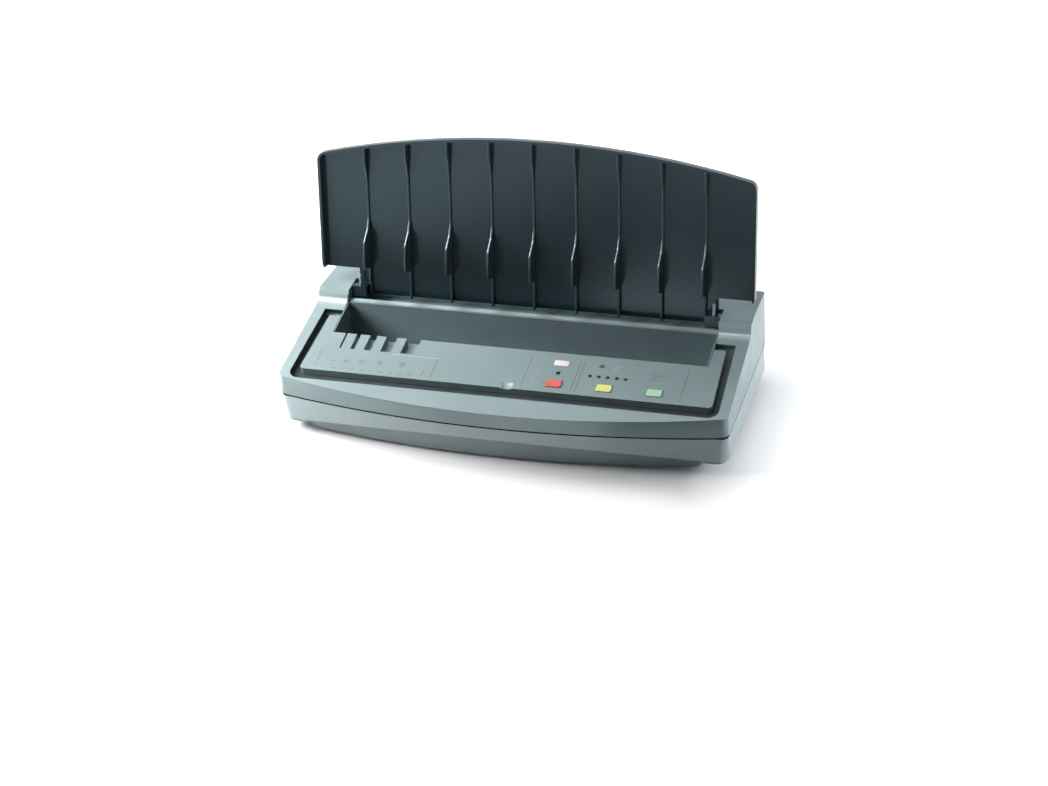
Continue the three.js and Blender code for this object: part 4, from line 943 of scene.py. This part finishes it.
# Finishes of the CAD nodes that stay, by a part of their names; the longest that fits counts
nodeFinish = {
    "button_board": boardGreen, "main_board": boardGreen, "board_screw": screwSteel, "heater_tray": trayAluminium,
    "insulation_pad": padFelt, "heating_element": micaSheet, "thermostat": screwSteel, "thermal_fuse": screwSteel,
    "transformer": coreSteel, "buzzer": plainBlack, "hinge_pin": pinSteel, "hinge_bush": bushNylon,
    "key_switch": switchBlack, "gauge_light_pipe": pipeClear}
for name, node in nodes.items():
    if not node.hide_render:
        material = nodeFinish[max((key for key in nodeFinish if key in name), key=len)]
        node.data.materials.clear()
        node.data.materials.append(material)
print("inner parts finished")

# Floor, lamps and backdrop
studio = {
    "floorHalf": 8.0, "floorColor": (222, 223, 225), "bounceColor": (125, 128, 131), "cloudScale": 3,
    "cloudShade": 0.99, "floorRough": 0.9, "floorShine": 0.1,
    # the floor's lift: the rectangle round the machine that it starts from, how far it grows, near by and far off
    "foot": (0.185, 0.085), "footMiddle": (-0.012, -0.022), "lift": (0.02, 0.80), "liftReach": (0.0, 0.085),
    "farLift": (0, 0.3), "farReach": (0.15, 0.9),
    "worldColor": (230, 238, 243), "backdropColor": (255, 255, 255), "worldLevel": 0.07,
    # name: place, point aimed at, width and height in metres, watts, colour
    "lamps": {"windowLeft": ((-0.58, -0.11, 0.36), (-0.05, 0, 0.06), (0.4, 0.3), 9.3, (255, 251, 248)),
              "rightSide": ((1.2, 0.45, 0.25), (0.2, 0.05, 0.05), (0.6, 0.5), 13.2, (250, 252, 255)),
              "overhead": ((-0.3, 0.35, 1.5), (-0.02, -0.02, 0.05), (1.0, 0.7), 3.2, (255, 255, 255)),
              "edgeStrip": ((-0.55, -0.35, 1.2), (-0.08, 0, 0.05), (0.8, 0.3), 28.0, (255, 255, 255))},
    # seen by shiny surfaces alone, for the light lines along the rounded edges
    "shineOnly": ("edgeStrip",),
    # name: x and y from and to, colour
    "flags": {"flagNearRight": ((0.1, 1.0, -0.6, -0.165), (62, 67, 69)),
              "flagNearLeft": ((-0.6, -0.05, -0.6, -0.19), (10, 13, 14)),
              "flagFarRight": ((-0.34, 0.12, -1.3, -0.5), (18, 22, 24))},
    "flagHeight": 0.001, "feltScale": 200, "feltShade": 1.3}


def straightRays(tree):
    # 1 for what the camera, a glossy surface or a clear one sees
    path = step(tree, "ShaderNodeLightPath")
    return maths("MAXIMUM", maths("MAXIMUM", path["Is Camera Ray"], path["Is Glossy Ray"]),
                 path["Is Transmission Ray"])


def flatMesh(name, sides, height):
    x0, x1, y0, y1 = sides
    mesh = bpy.data.meshes.new(name)
    mesh.from_pydata([(x0, y0, height), (x1, y0, height), (x1, y1, height), (x0, y1, height)], [], [(0, 1, 2, 3)])
    return mesh


def makeFloor():
    half = studio["floorHalf"]
    mesh = flatMesh("floor", (-half, half, -half, half), 0)
    material, tree, shader = newMaterial("pale floor")
    color = linear(studio["floorColor"])
    ground = objectPlace(tree)
    cloud = spread(noise(ground, studio["cloudScale"], detail=3), 0, 1)
    tint = blendColors(cloud, shade(color, studio["cloudShade"]), color)
    # what the floor throws back on the machine is dimmer than what the camera sees of it
    shown = blendColors(straightRays(tree), linear(studio["bounceColor"]), tint)
    feed(shader, {"Base Color": shown, "Roughness": studio["floorRough"], "Specular IOR Level": studio["floorShine"]})
    # the lift makes up for the lamps' fall-off, so that the floor stays pale away from the machine
    squares = []
    for side, middle, reach in zip(axes(ground), studio["footMiddle"], studio["foot"]):
        past = maths("MAXIMUM", minus(maths("ABSOLUTE", minus(side, middle)), reach), 0)
        squares.append(times(past, past))
    away = maths("SQRT", plus(*squares))
    lift = plus(spread(away, *studio["lift"], *studio["liftReach"]),
                spread(away, *studio["farLift"], *studio["farReach"]))
    glow = step(tree, "ShaderNodeEmission", {"Strength": times(straightRays(tree), lift)})[0]
    both = step(tree, "ShaderNodeAddShader", {0: shader.outputs[0], 1: glow})[0]
    feed(tree.nodes["Material Output"], {"Surface": both})
    addPiece("floor", mesh, material)


def makeFlags():
    # dark cards that shiny surfaces alone see: they hold back the pale floor's reflection in parts of the cover
    for name, (sides, color) in studio["flags"].items():
        material, tree, shader = newMaterial(name)
        felt = spread(noise(objectPlace(tree), studio["feltScale"], detail=3), 0, 1)
        dark = linear(color)
        feed(shader, {"Base Color": blendColors(felt, dark, shade(dark, studio["feltShade"])), "Roughness": 1.0})
        card = addPiece(name, flatMesh(name, sides, studio["flagHeight"]), material)
        card.visible_camera = card.visible_diffuse = card.visible_shadow = card.visible_transmission = False


def makeWorld():
    world = bpy.data.worlds.new("studio")
    bpy.context.scene.world = world
    world.use_nodes = True
    tree = world.node_tree
    # the camera sees the backdrop white, so that it joins the floor without a horizon
    seen = step(tree, "ShaderNodeLightPath")["Is Camera Ray"]
    color = blendColors(seen, linear(studio["worldColor"]), linear(studio["backdropColor"]))
    least = studio["worldLevel"]
    feed(tree.nodes["Background"], {"Color": color, "Strength": plus(times(straightRays(tree), 1 - least), least)})


def makeLamps():
    for name, (place, aim, size, watts, color) in studio["lamps"].items():
        data = bpy.data.lights.new(name, "AREA")
        data.shape = "RECTANGLE"
        data.size, data.size_y = size
        data.energy = watts
        data.color = linear(color)[:3]
        shown = bpy.data.objects.new(name, data)
        bpy.context.scene.collection.objects.link(shown)
        shown.location = place
        shown.visible_diffuse = name not in studio["shineOnly"]
        shown.rotation_mode = "QUATERNION"
        shown.rotation_quaternion = (Vector(aim) - Vector(place)).to_track_quat("-Z", "Y")


makeFloor()
makeFlags()
makeWorld()
makeLamps()
bpy.context.scene.view_settings.view_transform = "Standard"
print("floor and lights placed")
